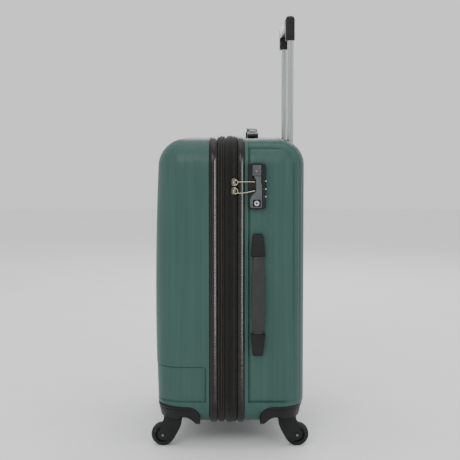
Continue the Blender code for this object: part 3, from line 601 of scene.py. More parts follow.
def make_shells():
    cutters = {end: [at_corner(housing_block(2 * GAP), side, end) for side in (-1, 1)] for end in (-1, 1)}
    faces = [0.0, 0.012, 0.03, 0.06] + [0.1 + 0.9 * i / 22 for i in range(23)]
    p, n = shell_surface(-1, FRONT_FACE, FRONT_RIM, [BAND_EDGE], [], [BAND_LOW, BAND_TOP, 0.173], faces)
    sunk = front_sinking(p, n)
    p = front_bow(p.copy()) - n * sunk[..., None]
    mesh = cut(thickened(grid_mesh(p), WALL), *cutters[-1])
    add_piece("front_shell_moulding", in_case(mesh), "green_shell", "front_case", ["front_shell"], 50)
    ribs = [c + s * RIB_HALF for c in RIBS for s in (-1, 1)]
    reach = HALF_WIDTH - RADIUS
    marks = [1 - abs(x) / reach for x in ribs if x >= 0]
    face_steps = stations(marks + [1.0], 0.0, 1.0, 0.030, 0.0008 / reach, 2)
    corner = [math.asin((y - (BACK_FACE - RADIUS)) / RADIUS) for y in BEAD_Y]
    levels = [PANEL_LOW, *BEAD_Z, *RIB_SPAN]
    p, n = shell_surface(1, BACK_FACE, BACK_RIM, [PANEL_EDGE], corner, levels, face_steps)
    sunk = back_sinking(p, n)
    p = p - n * sunk[..., None]
    edge, high_edge = 0.1455 + 2 * GAP, 0.1480 + 2 * GAP
    cup_hole = box((-edge, 0.1120 - 2 * GAP, 0.5995 - 2 * GAP), (edge, high_edge, 0.7006))
    mesh = cut(thickened(grid_mesh(p), WALL), *cutters[1], cup_hole)
    add_piece("back_shell_moulding", in_case(mesh), "green_shell", "back_case", ["back_shell"], 50)


# ---------------------------------------------------------------- rings round the case
def ring_path(size=0.006):
    """Points and outward directions round the case's side faces, seen from the front, at least every size."""
    low, high = (-HALF_WIDTH + RADIUS, BOTTOM + RADIUS), (HALF_WIDTH - RADIUS, TOP - RADIUS)
    path = []
    corners = ((high[0], low[1], -90), (high[0], high[1], 0), (low[0], high[1], 90), (low[0], low[1], 180))
    for (cx, cz, start), (nx, nz, _) in zip(corners, corners[1:] + corners[:1]):
        for i in range(16):
            t = math.radians(start + 90 * i / 16)
            path.append((cx + RADIUS * math.cos(t), cz + RADIUS * math.sin(t), math.cos(t), math.sin(t)))
        t = math.radians(start + 90)
        way = Vector((nx - cx, nz - cz))
        for share in steps_between(0.0, 1.0, size / way.length):
            x, z = cx + RADIUS * math.cos(t) + way.x * share, cz + RADIUS * math.sin(t) + way.y * share
            path.append((x, z, math.cos(t), math.sin(t)))
    return path


PATH = ring_path()
TOOTH_PITCH, TEETH_PROUD, STITCH_PITCH = 0.00135, 0.0019, 0.0032


def swept_ring(profile, wave=0.0, seed=0.0, path=None):
    """A closed profile of (proud, y) points carried round the case, or along path, a little unevenly."""
    rows = []
    for x, z, nx, nz in path or PATH:
        sway = wave * noise.noise(Vector((x * 26, z * 26, seed)))
        drift = wave * noise.noise(Vector((x * 19, z * 19, seed + 7)))
        row = []
        for proud, y in profile:
            out = proud + (sway if proud > 0 else 0.0)
            row.append((x + nx * out, y + (drift if proud > 0 else 0.0), z + nz * out))
        rows.append(row)
    return looped(rows, path is None)


def bulged(span, edge, peak, depth, steps, power):
    """The profile of a raised band: its outer side bulges from edge at both ends up to peak."""
    outer = []
    for i in range(steps + 1):
        t = 2 * i / steps - 1
        proud = edge + (peak - edge) * (1 - abs(t) ** power)
        outer.append((proud, span[0] + (span[1] - span[0]) * (t + 1) / 2))
    return outer + [(-depth, span[1]), (-depth, span[0])]


def combined(meshes):
    bm = bmesh.new()
    for mesh in meshes:
        bm.from_mesh(mesh)
    mesh = bpy.data.meshes.new("combined")
    bm.to_mesh(mesh)
    bm.free()
    return mesh


def path_places(pitch, keep):
    """Places every pitch round the case, or where keep(x, z) is true: a point and its outward direction."""
    places, left = [], 0.0
    for (ax, az, anx, anz), (bx, bz, bnx, bnz) in zip(PATH, PATH[1:] + PATH[:1]):
        length = math.hypot(bx - ax, bz - az)
        at = left
        while at < length:
            t = at / length
            out = Vector((anx + (bnx - anx) * t, anz + (bnz - anz) * t)).normalized()
            x, z = ax + (bx - ax) * t, az + (bz - az) * t
            if keep is None or keep(x, z):
                places.append((x, z, out.x, out.y))
            at += pitch
        left = at - length
    return places


def studs(pitch, shape, keep=None, every=(0, 1)):
    """Many small closed pieces round the case. shape lists (along, proud, y) rings of equal count."""
    verts, faces = [], []
    count = len(shape[0])
    for x, z, nx, nz in path_places(pitch, keep)[every[0] :: every[1]]:
        base = len(verts)
        for along, proud, y in sum(shape, []):
            verts.append((x + nx * proud - nz * along, y, z + nz * proud + nx * along))
        for r in range(len(shape) - 1):
            for i in range(count):
                j = (i + 1) % count
                a, b = base + r * count, base + (r + 1) * count
                faces.append((a + i, a + j, b + j, b + i))
        faces.append(tuple(base + i for i in reversed(range(count))))
        faces.append(tuple(base + (len(shape) - 1) * count + i for i in range(count)))
    mesh = bpy.data.meshes.new("studs")
    mesh.from_pydata(verts, [], faces)
    return mesh_copy(mesh)


def tooth(y_from, y_to, proud, half=0.00055, height=0.0007):
    """A zip's tooth, from its tape at y_from to its head at y_to."""
    def loop(y, half, height):
        points = [(half, 0), (half * 0.7, height * 0.8), (0, height), (-half * 0.7, height * 0.8), (-half, 0)]
        return [(along, proud + up, y) for along, up in points] + [(0, proud - 0.0004, y)]

    mid = y_from + (y_to - y_from) * 0.75
    head = loop(y_to, half * 0.7, height * 0.7)
    return [loop(y_from, half * 0.8, height), loop(mid, half, height * 1.15), head]


def stitch(y, proud, half=0.0011, width=0.00035, lift=0.00035):
    """A single sewing stitch lying along the ring."""
    def loop(along, size):
        return [(along, proud + lift * size, y), (along, proud, y + width * size), (along, proud - 0.0004, y),
                (along, proud, y - width * size)]

    return [loop(-half, 0.35), loop(-half * 0.6, 1.0), loop(half * 0.6, 1.0), loop(half, 0.35)]


def make_gusset():
    for name, span, body, node, seed in (
        ("front_piping", (-0.0434, -0.0258), "front_case", "front_trim", 1.0),
        ("rear_piping", (0.0150, 0.0306), "back_case", "rear_trim", 4.0),
    ):
        profile = bulged(span, 0.0006, 0.0042, 0.0050, 18, 2.3)
        add_piece(name, in_case(swept_ring(profile, 0.0002, seed)), "black_trim", body, [node], 60)
    front = millimetres((-0.6, -25.5), (0.4, -24.7), (2, -23.6), (3.1, -22), (3.6, -20.2), (3.4, -18.8),
                        (2.4, -18), (1.8, -17.6), (-2, -17.6), (-2, -25.5))
    rear = millimetres((1.8, -17.3), (2.6, -16.8), (3.4, -15.8), (2.8, -14.2), (1, -12.6), (-1.2, -11.2),
                       (-1.8, -10.5), (-6.6, -10.5), (-6.6, -17.3))
    band = millimetres((-1.8, -10.2), (-0.8, -9.4), (1, -8.2), (2.6, -6.6), (3.7, -4.4), (4.1, -1.4), (4, 2),
                       (3.4, 4.6), (2.4, 6.4), (1.8, 7.4), (1.8, 7.9), (-6.6, 7.9), (-6.6, -10.2))
    main = millimetres((1.8, 8.5), (2.2, 9.2), (3.2, 10.4), (3, 12), (1.8, 13.4), (-0.2, 14.3), (-0.6, 14.7),
                       (-2, 14.7), (-2, 8.5))
    for name, profile, wave, seed, slot, body, node in (
        ("front_expander_tape", front, 0.0003, 2, "zip_tape", "front_case", "expander_zip_front"),
        ("rear_expander_tape", rear, 0.0003, 2, "zip_tape", "lid_frame", "expander_zip_rear"),
        ("gusset_cloth_band", band, 0.0004, 9, "black_fabric", "lid_frame", "gusset_band"),
    ):
        add_piece(name, in_case(swept_ring(profile, wave, seed)), slot, body, [node], 70)

    def three_sides(x, z):
        return not (x < -HALF_WIDTH + 0.004 and BOTTOM + RADIUS < z < TOP - RADIUS)

    hinge_side = [i for i, place in enumerate(PATH) if not three_sides(place[0], place[1])]
    opened = PATH[hinge_side[0] + len(hinge_side) :] + PATH[: hinge_side[0]]
    zip_tape = in_case(swept_ring(main, 0.0001, 2, opened))
    add_piece("main_zip_tape", zip_tape, "zip_tape", "back_case", ["main_zip_rear"], 70)
    rows = (
        ("front_expander_teeth", "front_case", -0.0182, -0.0168, (0, 2), None),
        ("rear_expander_teeth", "lid_frame", -0.0166, -0.0180, (1, 2), None),
        ("lid_zip_teeth", "lid_frame", 0.0074, 0.0090, (0, 2), three_sides),
        ("case_zip_teeth", "back_case", 0.0092, 0.0076, (1, 2), three_sides),
    )
    for name, body, start, end, every, keep in rows:
        mesh = studs(TOOTH_PITCH, tooth(start, end, TEETH_PROUD), keep, every)
        add_piece(name, in_case(mesh), "zip_tape", body, (), 40, LOOKS["coil"])
    seams = (
        ("front_tape_stitches", "front_case", ((-0.0226, 0.0026),), None),
        ("band_stitches", "lid_frame", ((-0.0138, 0.0024), (-0.0060, 0.0029), (0.0042, 0.0034)), None),
        ("case_tape_stitches", "back_case", ((0.0122, 0.0027),), three_sides),
    )
    for name, body, lines, keep in seams:
        parts = [studs(STITCH_PITCH, stitch(y, proud), keep) for y, proud in lines]
        add_piece(name, in_case(combined(parts)), "black_fabric", body, (), 40, LOOKS["thread"])


LOOKS["coil"] = plastic_material("zip_coil_finish", (0.022, 0.022, 0.021), 0.38, 900.0, 0.1)
LOOKS["thread"] = plastic_material("thread_finish", (0.030, 0.030, 0.028), 0.75, 1600.0, 0.5)


# ---------------------------------------------------------------- casters
AXLE_Y, AXLE_Z = -0.1435, sum(corner.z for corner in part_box("front_right_axle")) / 2
CASTER_X = 0.180
WHEEL_CORNERS = (
    ("front_right", 1, -1, "front_case"),
    ("front_left", -1, -1, "front_case"),
    ("rear_right", 1, 1, "back_case"),
    ("rear_left", -1, 1, "back_case"),
)


def housing_mesh():
    """The housing's smooth outer form with a seam line, its arch, its swivel socket and the hollow above."""
    pocket = box_bmesh((0.1425, -0.1325, 0.0730), (0.2025, -0.0690, 0.1100))
    uprights = [e for e in pocket.edges if abs(e.verts[0].co.z - e.verts[1].co.z) > 0.01]
    round_edges(pocket, uprights, 0.016, 6)
    under = millimetres((-73, 50), (-73, 55), (-76, 59.4), (-80, 63), (-84.5, 66.3), (-89, 68.7), (-93, 69.8),
                        (-98, 70.4), (-106, 70.4), (-106, 67), (-170, 67), (-170, 50))
    arch = prism("X", (0.150, 0.240), under)
    socket = cylinder("Z", (0.180, -0.122), 0.0045, (0.060, 0.0790), 32)
    body = housing_block(0.0, foot_radius=0.009)
    body = bevelled(cut(body, from_bmesh(pocket), arch, socket), 0.0007, 2, 50)
    outer, inner = housing_block(0.0004), housing_block(-0.0007)
    slab = box((0.10, -0.20, 0.0865), (0.26, -0.02, 0.0873))
    return cut(body, cut(common_part(outer, slab), inner))


def common_part(mesh, other):
    return boolean(mesh, (other,), "INTERSECT")


def softened(node, width, segments, angle):
    """The frame's own form of a node with its edges rounded."""
    return bevelled(mesh_copy(frame["nodes"][node].data), width, segments, angle)


def tyre_mesh(place):
    """A rolled tread with two fine grooves, on a rim bead."""
    half, radius = 0.0095, 0.02495
    side = [(0.0173, half), (0.0186, half), (0.0214, half - 0.0002), (0.0232, half - 0.0012)]
    side += [(0.0243, half - 0.0029), (0.0248, half - 0.0050)]
    side += [(radius, 0.0040), (radius - 0.0004, 0.0036), (radius - 0.0004, 0.0032), (radius, 0.0028)]
    return turned(side, place)


def hub_mesh(place):
    """A dished wheel centre with a raised boss and a ring of lightening pockets."""
    side = millimetres((3.4, 10.1), (5.8, 10.1), (6.6, 9.6), (7, 6.6), (8.2, 5.8), (13.5, 5.8), (14.6, 6.6),
                       (15.2, 8.8), (16, 9.1), (16.8, 8.8))
    return turned(side, place)


def make_casters():
    housing = housing_mesh()
    for name, side, end, carrier in WHEEL_CORNERS:
        add_piece(name + "_corner_cup", in_case(at_corner(housing, side, end)), "black_plastic", carrier,
                  [name + "_housing"], 40)
        place = (MIDDLE_X + side * CASTER_X, end * -AXLE_Y, AXLE_Z)
        fork = softened(name + "_fork", 0.0009, 3, 25)
        add_piece(name + "_swivel_fork", fork, "black_plastic", name + "_swivel", [name + "_fork"], 40)
        ends = [corner.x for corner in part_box(name + "_axle")]
        pin = bevelled(cylinder("X", place[1:], 0.0029, ends, 40), 0.0006, 3)
        pin = cut(pin, *[cylinder("X", place[1:], 0.0012, (x - 0.0006, x + 0.0006), 24) for x in ends])
        grey = LOOKS["dull_silver"]
        add_piece(name + "_axle_pin", pin, "steel", name + "_swivel", [name + "_axle"], 30, grey)
        add_piece(name + "_tread", tyre_mesh(place), "tyre", name + "_wheel", [name + "_tyre"], 30)
        hub = hub_mesh(place)
        holes = []
        for i in range(6):
            t = math.radians(60 * i + 15)
            middle = (place[1] + 0.0108 * math.cos(t), place[2] + 0.0108 * math.sin(t))
            holes.append(cylinder("X", middle, 0.0019, (place[0] - 0.02, place[0] + 0.02), 20))
        hub = cut(hub, *holes)
        add_piece(name + "_wheel_centre", hub, "black_plastic", name + "_wheel", [name + "_hub"], 35)


# ---------------------------------------------------------------- trolley
TUBE_X, TUBE_Y, TUBE_HALF = 0.120, 0.1308, (0.0110, 0.0062)


def tube_outline(x, grow, flute=0.0, steps=5):
    """A tube's section with round corners and, on its broad faces, a shallow flute."""
    hx, hy = TUBE_HALF[0] + grow, TUBE_HALF[1] + grow
    points = rounded((x - hx, TUBE_Y - hy), (x + hx, TUBE_Y + hy), 0.0030 + grow, steps)
    if not flute:
        return points
    fluted = []
    for a, b in zip(points, points[1:] + points[:1]):
        fluted.append(a)
        if abs(a[0] - b[0]) > 0.008:
            depth = math.copysign(flute, TUBE_Y - a[1])
            for t, share in ((0.20, 0.0), (0.26, 0.7), (0.32, 1.0), (0.68, 1.0), (0.74, 0.7), (0.80, 0.0)):
                fluted.append((a[0] + (b[0] - a[0]) * t, a[1] + depth * share))
        elif abs(a[1] - b[1]) > 0.004:
            depth = math.copysign(0.0010, x - a[0])
            for t, share in ((0.36, 0.0), (0.40, 1.0), (0.54, 1.0), (0.58, 0.0)):
                fluted.append((a[0] + depth * share, a[1] + (b[1] - a[1]) * t))
    return fluted


def tube_mesh(x, span, stage, hole_height=None):
    inside = stage * 0.0016 - 0.0012
    mesh = prism("Z", span, tube_outline(x, inside + 0.0012, 0.00035), tube_outline(x, inside))
    if hole_height:
        mesh = cut(mesh, cylinder("Y", (x, hole_height), 0.0022, (TUBE_Y - 0.02, TUBE_Y), 24))
    return mesh


def make_trolley():
    for name, side in (("left", -1), ("right", 1)):
        x = side * TUBE_X
        stages = (("_outer_tube", 2, "back_case", None), ("_middle_tube", 1, "middle_stage", 0.585),
                  ("_inner_tube", 0, "grip_stage", 0.640))
        for suffix, stage, body, hole in stages:
            low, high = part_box(name + suffix)
            mesh = tube_mesh(x, (low.z, high.z), stage, hole)
            add_piece(f"{name}{suffix}_extrusion", in_case(mesh), "aluminium", body, [name + suffix], 30)
    for name, node, width, angle in (
        ("trolley_recess_cup", "trolley_cup", 0.0007, 50),
        ("trolley_foot_bar", "trolley_foot", 0.0005, 40),
    ):
        add_piece(name, softened(node, width, 2, angle), "black_plastic", "back_case", [node], 40)
    make_grip()


def grip_outline(inset=0.0, steps=10):
    half, top, bottom, gap, gap_top = 0.134 - inset, 0.921 - inset, 0.868, 0.106 + inset, 0.894 + inset
    outline = [(-half, bottom)]
    for side, start in ((-1, 180), (1, 90)):
        outline += arc((side * (half - 0.012), top - 0.012), 0.012, start, start - 90, steps)
    outline += [(half, bottom), (gap, bottom)]
    for side, start in ((1, 0), (-1, 90)):
        outline += arc((side * (gap - 0.009), gap_top - 0.009), 0.009, start, start + 90, steps)
    return outline + [(-gap, bottom)]


GRIP_ROUND, GRIP_TOP, GRIP_FRONT, GRIP_BACK = 0.0086, 0.921, 0.1199, 0.1390


def grip_corner(face, side):
    """What is cut away along the grip's top to round it, at its front (side -1) or back (side 1)."""
    middle = (face - side * GRIP_ROUND, GRIP_TOP - GRIP_ROUND)
    start, end = (174, 93) if side < 0 else (6, 87)
    outline = arc(middle, GRIP_ROUND, start, end, 14)
    above, beyond = GRIP_TOP + 0.01, face + side * 0.01
    outline += [(outline[-1][0], above), (beyond, above), (beyond, outline[0][1])]
    return prism("X", (-0.30, 0.30), outline)


def make_grip():
    body = bevelled(prism("Y", (GRIP_FRONT, GRIP_BACK), grip_outline()), 0.0038, 5, 40)
    body = cut(body, grip_corner(GRIP_FRONT, -1), grip_corner(GRIP_BACK, 1))
    sockets = [prism("Z", (0.860, 0.906), tube_outline(side * TUBE_X, 0.0003)) for side in (-1, 1)]
    face_recess = box((-0.0983, 0.100, 0.880), (0.0983, 0.1243, 0.9300))
    button_recess = box((-0.0164, 0.1263, 0.9030), (0.0164, 0.1357, 0.9300))
    core = bevelled(prism("Y", (0.1206, 0.1383), grip_outline(0.0007)), 0.0036, 4, 40)
    groove = cut(box((-0.15, 0.10, 0.8755), (0.15, 0.15, 0.8761)), core)
    body = in_case(cut(body, *sockets, face_recess, button_recess, groove))
    add_piece("trolley_grip_body", body, "black_plastic", "grip_stage", ["trolley_grip"], 40)
    middle = (GRIP_FRONT + GRIP_ROUND, GRIP_TOP - GRIP_ROUND)
    outline = [(0.1240, 0.8935), (0.1210, 0.8935), (0.1200, 0.8938), (0.1195, 0.8950)]
    outline += arc(middle, middle[0] - 0.1195, 180, 122, 10)
    face = bevelled(prism("X", (-0.0980, 0.0980), outline), 0.0005, 3, 50)
    face = in_case(cut(face, box((-0.094, 0.118, 0.8985), (0.094, 0.11985, 0.8992))))
    add_piece("trolley_grip_face", face, "silver_plastic", "grip_stage", ["grip_face"], 35)
    button = prism("Z", (0.9070, 0.9222), rounded((-0.0160, 0.1267), (0.0160, 0.1353), 0.0038, 8))
    button = bevelled(button, 0.0012, 4, 50)
    places = (-0.006, -0.003, 0.0, 0.003, 0.006)
    ridges = [box((x - 0.0004, 0.1285, 0.92195), (x + 0.0004, 0.1335, 0.93)) for x in places]
    button = in_case(cut(button, *ridges))
    add_piece("trolley_release", button, "silver_plastic", "trolley_button", ["release_button"], 35)


# ---------------------------------------------------------------- carrying handles
BAR_SQUARENESS = 0.86  # 1 is an ellipse, and less is squarer
BAR_POINTS = 28  # round its section


def profile_bar(half_length, half_width, height, gap, end_rise, part=(-1.0, 1.0), grow=0.0, steps=36):
    """A bowed bar along Z, rounded right round, with its ends drawn down to the face it stands on."""
    rows = []
    for i in range(steps + 1):
        t = part[0] + (part[1] - part[0]) * i / steps
        top = height * (1 - 0.38 * t * t)
        under = gap - (gap - end_rise) * t**4
        middle, half_height = (top + under) / 2, (top - under) / 2
        row = []
        for j in range(BAR_POINTS):
            a = 2 * math.pi * j / BAR_POINTS
            c, s = math.cos(a), math.sin(a)
            u = math.copysign(abs(c) ** BAR_SQUARENESS, c) * (half_width * (1.05 - 0.24 * t * t) + grow)
            v = math.copysign(abs(s) ** BAR_SQUARENESS, s) * (half_height + grow)
            row.append((middle + v, u, half_length * t))
        rows.append(row)
    return looped(rows, False)


def cap_mesh(start, length, wide, narrow, height, pocket_half):
    """A tapered end cap, smoothly rounded, hollow at its mouth for the grip's strap."""
    low, high = start, start + length
    bm = box_bmesh((0.0, -wide, low), (height, wide, high))
    for v in bm.verts:
        if v.co.z > start + length / 2:
            v.co.y *= narrow / wide
            v.co.x *= 0.70
    round_edges(bm, edges_at(bm, z=high), 0.0044, 6)
    shell = bevelled(from_bmesh(bm), 0.0034, 5, 30)
    pocket = box((0.0016, -pocket_half, start - 0.01), (0.0094, pocket_half, start + 0.54 * length))
    return cut(shell, pocket)


def make_handles():
    side_frame = Matrix.Translation((HALF_WIDTH + GAP, 0.0580, 0.3325))
    top_turn = Matrix(((0, 0, 1, 0), (0, 1, 0, 0), (1, 0, 0, 0), (0, 0, 0, 1)))
    mirror = Matrix.Scale(-1, 4, (0, 1, 0))
    top_frame = Matrix.Translation((0.0, 0.0500, TOP + GAP)) @ top_turn @ mirror
    settings = (
        ("side_handle", side_frame, (0.0810, 0.0135, 0.0200, 0.0118, 0.0465, 0.0155, 0.0110, 0.0130),
         "rubber_grip", ("upper_cap", "lower_cap")),
        ("top_handle", top_frame, (0.0720, 0.0115, 0.0260, 0.0170, 0.0280, 0.0130, 0.0110, 0.0135),
         "silver_plastic", ("right_foot", "left_foot")),
    )
    for name, place, sizes, finish, caps in settings:
        half_length, half_width, height, gap, cap_length, cap_wide, cap_narrow, cap_height = sizes
        half = 0.62 * half_width
        tongue, root = half_length + 0.45 * cap_length, half_length - 0.0060
        form = (half_length - GAP, half_width, height, gap, 0.0036)
        bar = profile_bar(*form, steps=48)
        ends = [box((0.0036, -half, a), (0.0060, half, b)) for a, b in ((-tongue, -root), (root, tongue))]
        bar = joined(bar, *ends)
        if name == "top_handle":
            bands = [profile_bar(*form, part, 0.0003, 16) for part in ((-0.90, -0.70), (0.70, 0.90))]
            bar = cut(bar, *bands)
            for side, part in (("left", (-0.898, -0.702)), ("right", (0.702, 0.898))):
                band = profile_bar(*form, part, 0.0002, 16)
                band.transform(place)
                add_piece(f"top_handle_{side}_band", in_case(band), "silver_plastic", name, (), 40,
                          LOOKS["black_plastic"])
        else:
            seams = [profile_bar(*form, (t - 0.006, t + 0.006), 0.0003, 2) for t in (-0.93, 0.93)]
            core = profile_bar(*form, (-0.99, 0.99), -0.0006, 48)
            bar = cut(bar, *[cut(seam, core) for seam in seams])
        bar.transform(place)
        look = LOOKS["dull_silver"] if name == "top_handle" else None
        add_piece(name + "_bar", in_case(bar), finish, name, [name + "_grip"], 45, look)
        for cap, flip in zip(caps, (1, -1)):
            mesh = cap_mesh(half_length + GAP, cap_length, cap_wide, cap_narrow, cap_height, half + 2 * GAP)
            turn = Matrix.Identity(4) if flip == 1 else Matrix.Rotation(math.pi, 4, "X")
            mesh.transform(place @ turn)
            node = f"{name}_{cap}"
            add_piece(node + "_moulding", in_case(mesh), "black_plastic", "back_case", [node], 40)


# ---------------------------------------------------------------- lock and zip sliders
def make_lock():
    body, plate = softened("lock_body", 0.0006, 3, 40), softened("lock_cover", 0.00025, 2, 40)
    add_piece("lock_housing", body, "black_plastic", "back_case", ["lock_body"], 40)
    add_piece("lock_face_plate", plate, "lock_grey", "back_case", ["lock_cover"], 40)
    button = softened("lock_button", 0.0005, 3, 40)
    low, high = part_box("lock_button")
    grips = [box((high.x - 0.00035, low.y + 0.003, z), (high.x + 0.01, high.y - 0.003, z + 0.0009))
             for z in (low.z + 0.0040, low.z + 0.0065, low.z + 0.0090)]
    add_piece("lock_release", cut(button, *grips), "lock_grey", "lock_push", ["lock_button"], 40)
    middle = (low.y + high.y) / 2
    dot = cylinder("X", (middle - 0.0008, 0.5905), 0.0021, (high.x - 0.0002, high.x + 0.00012), 28)
    add_piece("lock_dot", dot, "lock_grey", "lock_push", (), 40, LOOKS["dot_red"])
    for number in (1, 2, 3):
        node = f"dial_{number}"
        low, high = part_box(node)
        centre, radius = (low + high) / 2, (high.x - low.x) / 2
        disc = cylinder("Z", (centre.x, centre.y), radius - 0.0001, (low.z, high.z), 60)
        disc = bevelled(disc, 0.0003, 2)
        ribs = []
        for i in range(20):
            t = 2 * math.pi * (i + 0.5) / 20
            place = (centre.x + radius * math.cos(t), centre.y + radius * math.sin(t))
            ribs.append(cylinder("Z", place, 0.00022, (low.z - 0.001, high.z + 0.001), 8))
        body, black = f"dial_wheel_{number}", LOOKS["dial_black"]
        add_piece(f"number_dial_{number}", cut(disc, combined(ribs)), "steel", body, [node], 40, black)
        for i in range(10):
            t = math.radians(50 + 36 * i)
            mark = box((radius - 0.0004, -0.0010, -0.0013), (radius + 0.0001, 0.0010, 0.0013))
            mark = bevelled(mark, 0.0003, 2)
            mark.transform(Matrix.Translation(centre) @ Matrix.Rotation(t, 4, "Z"))
            look = LOOKS["dial_white"] if i == 0 else black
            add_piece(f"dial_{number}_mark_{i}", mark, "steel", body, (), 40, look)
    low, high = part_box("key_cylinder")
    centre = (low + high) / 2
    radius, (y, z) = (high.y - low.y) / 2, centre.yz
    plug = bevelled(cylinder("X", (y, z), radius - 0.0001, (low.x, high.x), 64), 0.0005, 3)
    core = bevelled(cylinder("X", (y, z), radius * 0.40, (low.x + 0.004, high.x - 0.0002), 40), 0.0003)
    well = cylinder("X", (y, z), radius * 0.46, (high.x - 0.0030, 0.4), 48)
    slot = box((high.x - 0.0020, y - 0.0005, z - 0.0016), (0.3, y + 0.0005, z + 0.0016))
    add_piece("key_plug", cut(plug, well), "steel", "key_barrel", ["key_cylinder"], 35)
    add_piece("key_plug_core", cut(core, slot), "steel", "key_barrel", (), 35, LOOKS["dial_black"])


def wire(kind, points, radius, **settings):
    """A round wire along a curve of the given kind."""
    curve = bpy.data.curves.new("wire", "CURVE")
    curve.dimensions = "3D"
    curve.bevel_depth = radius
    curve.bevel_resolution = 4
    curve.use_fill_caps = True
    spline = curve.splines.new(kind)
    spline.points.add(len(points) - 1)
    for point, co in zip(spline.points, points):
        point.co = (*co, 1.0)
    for key, value in settings.items():
        setattr(spline, key, value)
    return evaluated_mesh(loose(curve))


def bail(points, radius, steps=10):
    """A bent wire drawn by the given points."""
    return wire("NURBS", points, radius, use_endpoint_u=True, order_u=3, resolution_u=steps)


def ring_of_wire(centre, size, x, radius, steps=28):
    """A flat oval wire ring facing X."""
    turns = [2 * math.pi * i / steps for i in range(steps)]
    points = [(x, centre[0] + size[0] * math.cos(t), centre[1] + size[1] * math.sin(t)) for t in turns]
    return wire("POLY", points, radius, use_cyclic_u=True)


def make_sliders():
    routes = {
        "upper": (0.5680, millimetres((16.6, 568.4), (30, 568.8), (51.5, 568.6))),
        "lower": (0.5497, millimetres((16.2, 545.2), (26, 545.6), (37.6, 547.2), (51.5, 550.2))),
    }
    for name, (height, route) in routes.items():
        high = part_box(name + "_slider")[1]
        body = softened(name + "_slider", 0.0004, 3, 30)
        add_piece(name + "_slider_body", body, "brass", name + "_zip_slider", [name + "_slider"], 35,
                  LOOKS["slider_metal"])
        x, y, toward = high.x + 0.0001, 0.0082, 1 if name == "upper" else -1
        loop = millimetres((-3, -4), (-0.4, -4.2), (1.3, -3), (1.6, 0), (1.3, 3), (-0.4, 4.2), (-3, 4))
        loop = [(x + out, y, height + up) for out, up in loop]
        add_piece(name + "_slider_bail", bail(loop, 0.0006), "brass", name + "_zip_slider", (), 50)
        tip = ((-3.4, -3, 6.2), (-0.6, -1.6, 7.4), (-0.2, 2, 6), (-0.6, 4.4, 7.8), (-3.4, 5, 7))
        tip = [(x + out / 1000, y + along / 1000, height - toward * up / 1000) for out, along, up in tip]
        add_piece(name + "_slider_nose", bail(tip, 0.0006), "brass", name + "_zip_slider", (), 50)
        pull_low, pull_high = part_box(name + "_pull")
        middle = (pull_low.x + pull_high.x) / 2
        ring = ring_of_wire((0.0116, height - 0.0004), (0.0044, 0.0052), middle, 0.0008)
        points = [(middle, py, pz) for py, pz in route]
        strip = bail([points[0], *points, points[-1]], 0.00085, 16)
        add_piece(name + "_pull_wire", joined(strip, ring), "brass", name + "_zip_pull", [name + "_pull"], 60)


LOOKS["slider_metal"] = metal_material("slider_metal_finish", (0.16, 0.15, 0.12), 0.35, (1.0, 1.0, 1.0), 0.05)
LOOKS["dot_red"] = plastic_material("dot_finish", (0.42, 0.06, 0.07), 0.5)
LOOKS["dial_black"] = plastic_material("dial_finish", (0.025, 0.026, 0.028), 0.42)
LOOKS["dial_white"] = plastic_material("dial_mark_finish", (0.75, 0.76, 0.76), 0.5)


# ---------------------------------------------------------------- cloth inside and between the shells
def creased_cloth(node, depth, scale, pitch=0.013):
    """The frame's form of a sewn cloth, cut into small cells and softly creased."""
    bm = bmesh.new()
    bm.from_mesh(frame["nodes"][node].data)
    bmesh.ops.remove_doubles(bm, verts=bm.verts, dist=1e-6)
    low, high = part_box(node)
    for axis in range(3):
        normal = Vector([1.0 if i == axis else 0.0 for i in range(3)])
        for place in steps_between(low[axis], high[axis], pitch)[1:]:
            geometry = bm.verts[:] + bm.edges[:] + bm.faces[:]
            bmesh.ops.bisect_plane(bm, geom=geometry, plane_co=normal * (place + 0.0004), plane_no=normal)
    middle = (low + high) / 2
    for v in bm.verts:
        at = Vector((v.co.x * scale[0], v.co.y * scale[1], v.co.z * scale[2]))
        folds = noise.noise(at) + 0.5 * noise.noise(at * 2.3 + Vector((7, 1, 3)))
        inward = Vector((middle.x - v.co.x, 0.0, middle.z - v.co.z))
        inward = inward.normalized() if inward.length > 0.02 else Vector((0, 0, 0))
        across = Vector((0.0, -1.0 if node[0] == "b" else 1.0, 0.0))
        v.co += (inward + 0.8 * across) * depth * (0.5 + 0.5 * folds)
    return from_bmesh(bm)


def make_linings():
    for node, body, side, inset in (
        ("front_lining", "front_case", -1, 0.0075),
        ("back_lining", "back_case", 1, 0.0060),
    ):
        mesh = creased_cloth(node, 0.0016, (30.0, 24.0, 14.0))
        piece = add_piece(node + "_cloth", mesh, "lining", body, [node], 55)
        low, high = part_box(node)
        mouth = low.y if side == 1 else high.y
        profile = [(-inset - 0.0008 + 0.0015 * math.cos(t), mouth + side * 0.0012 + 0.0017 * math.sin(t))
                   for t in (2 * math.pi * i / 14 for i in range(14))]
        add_piece(node + "_binding", in_case(swept_ring(profile)), "black_fabric", body, (), 60)


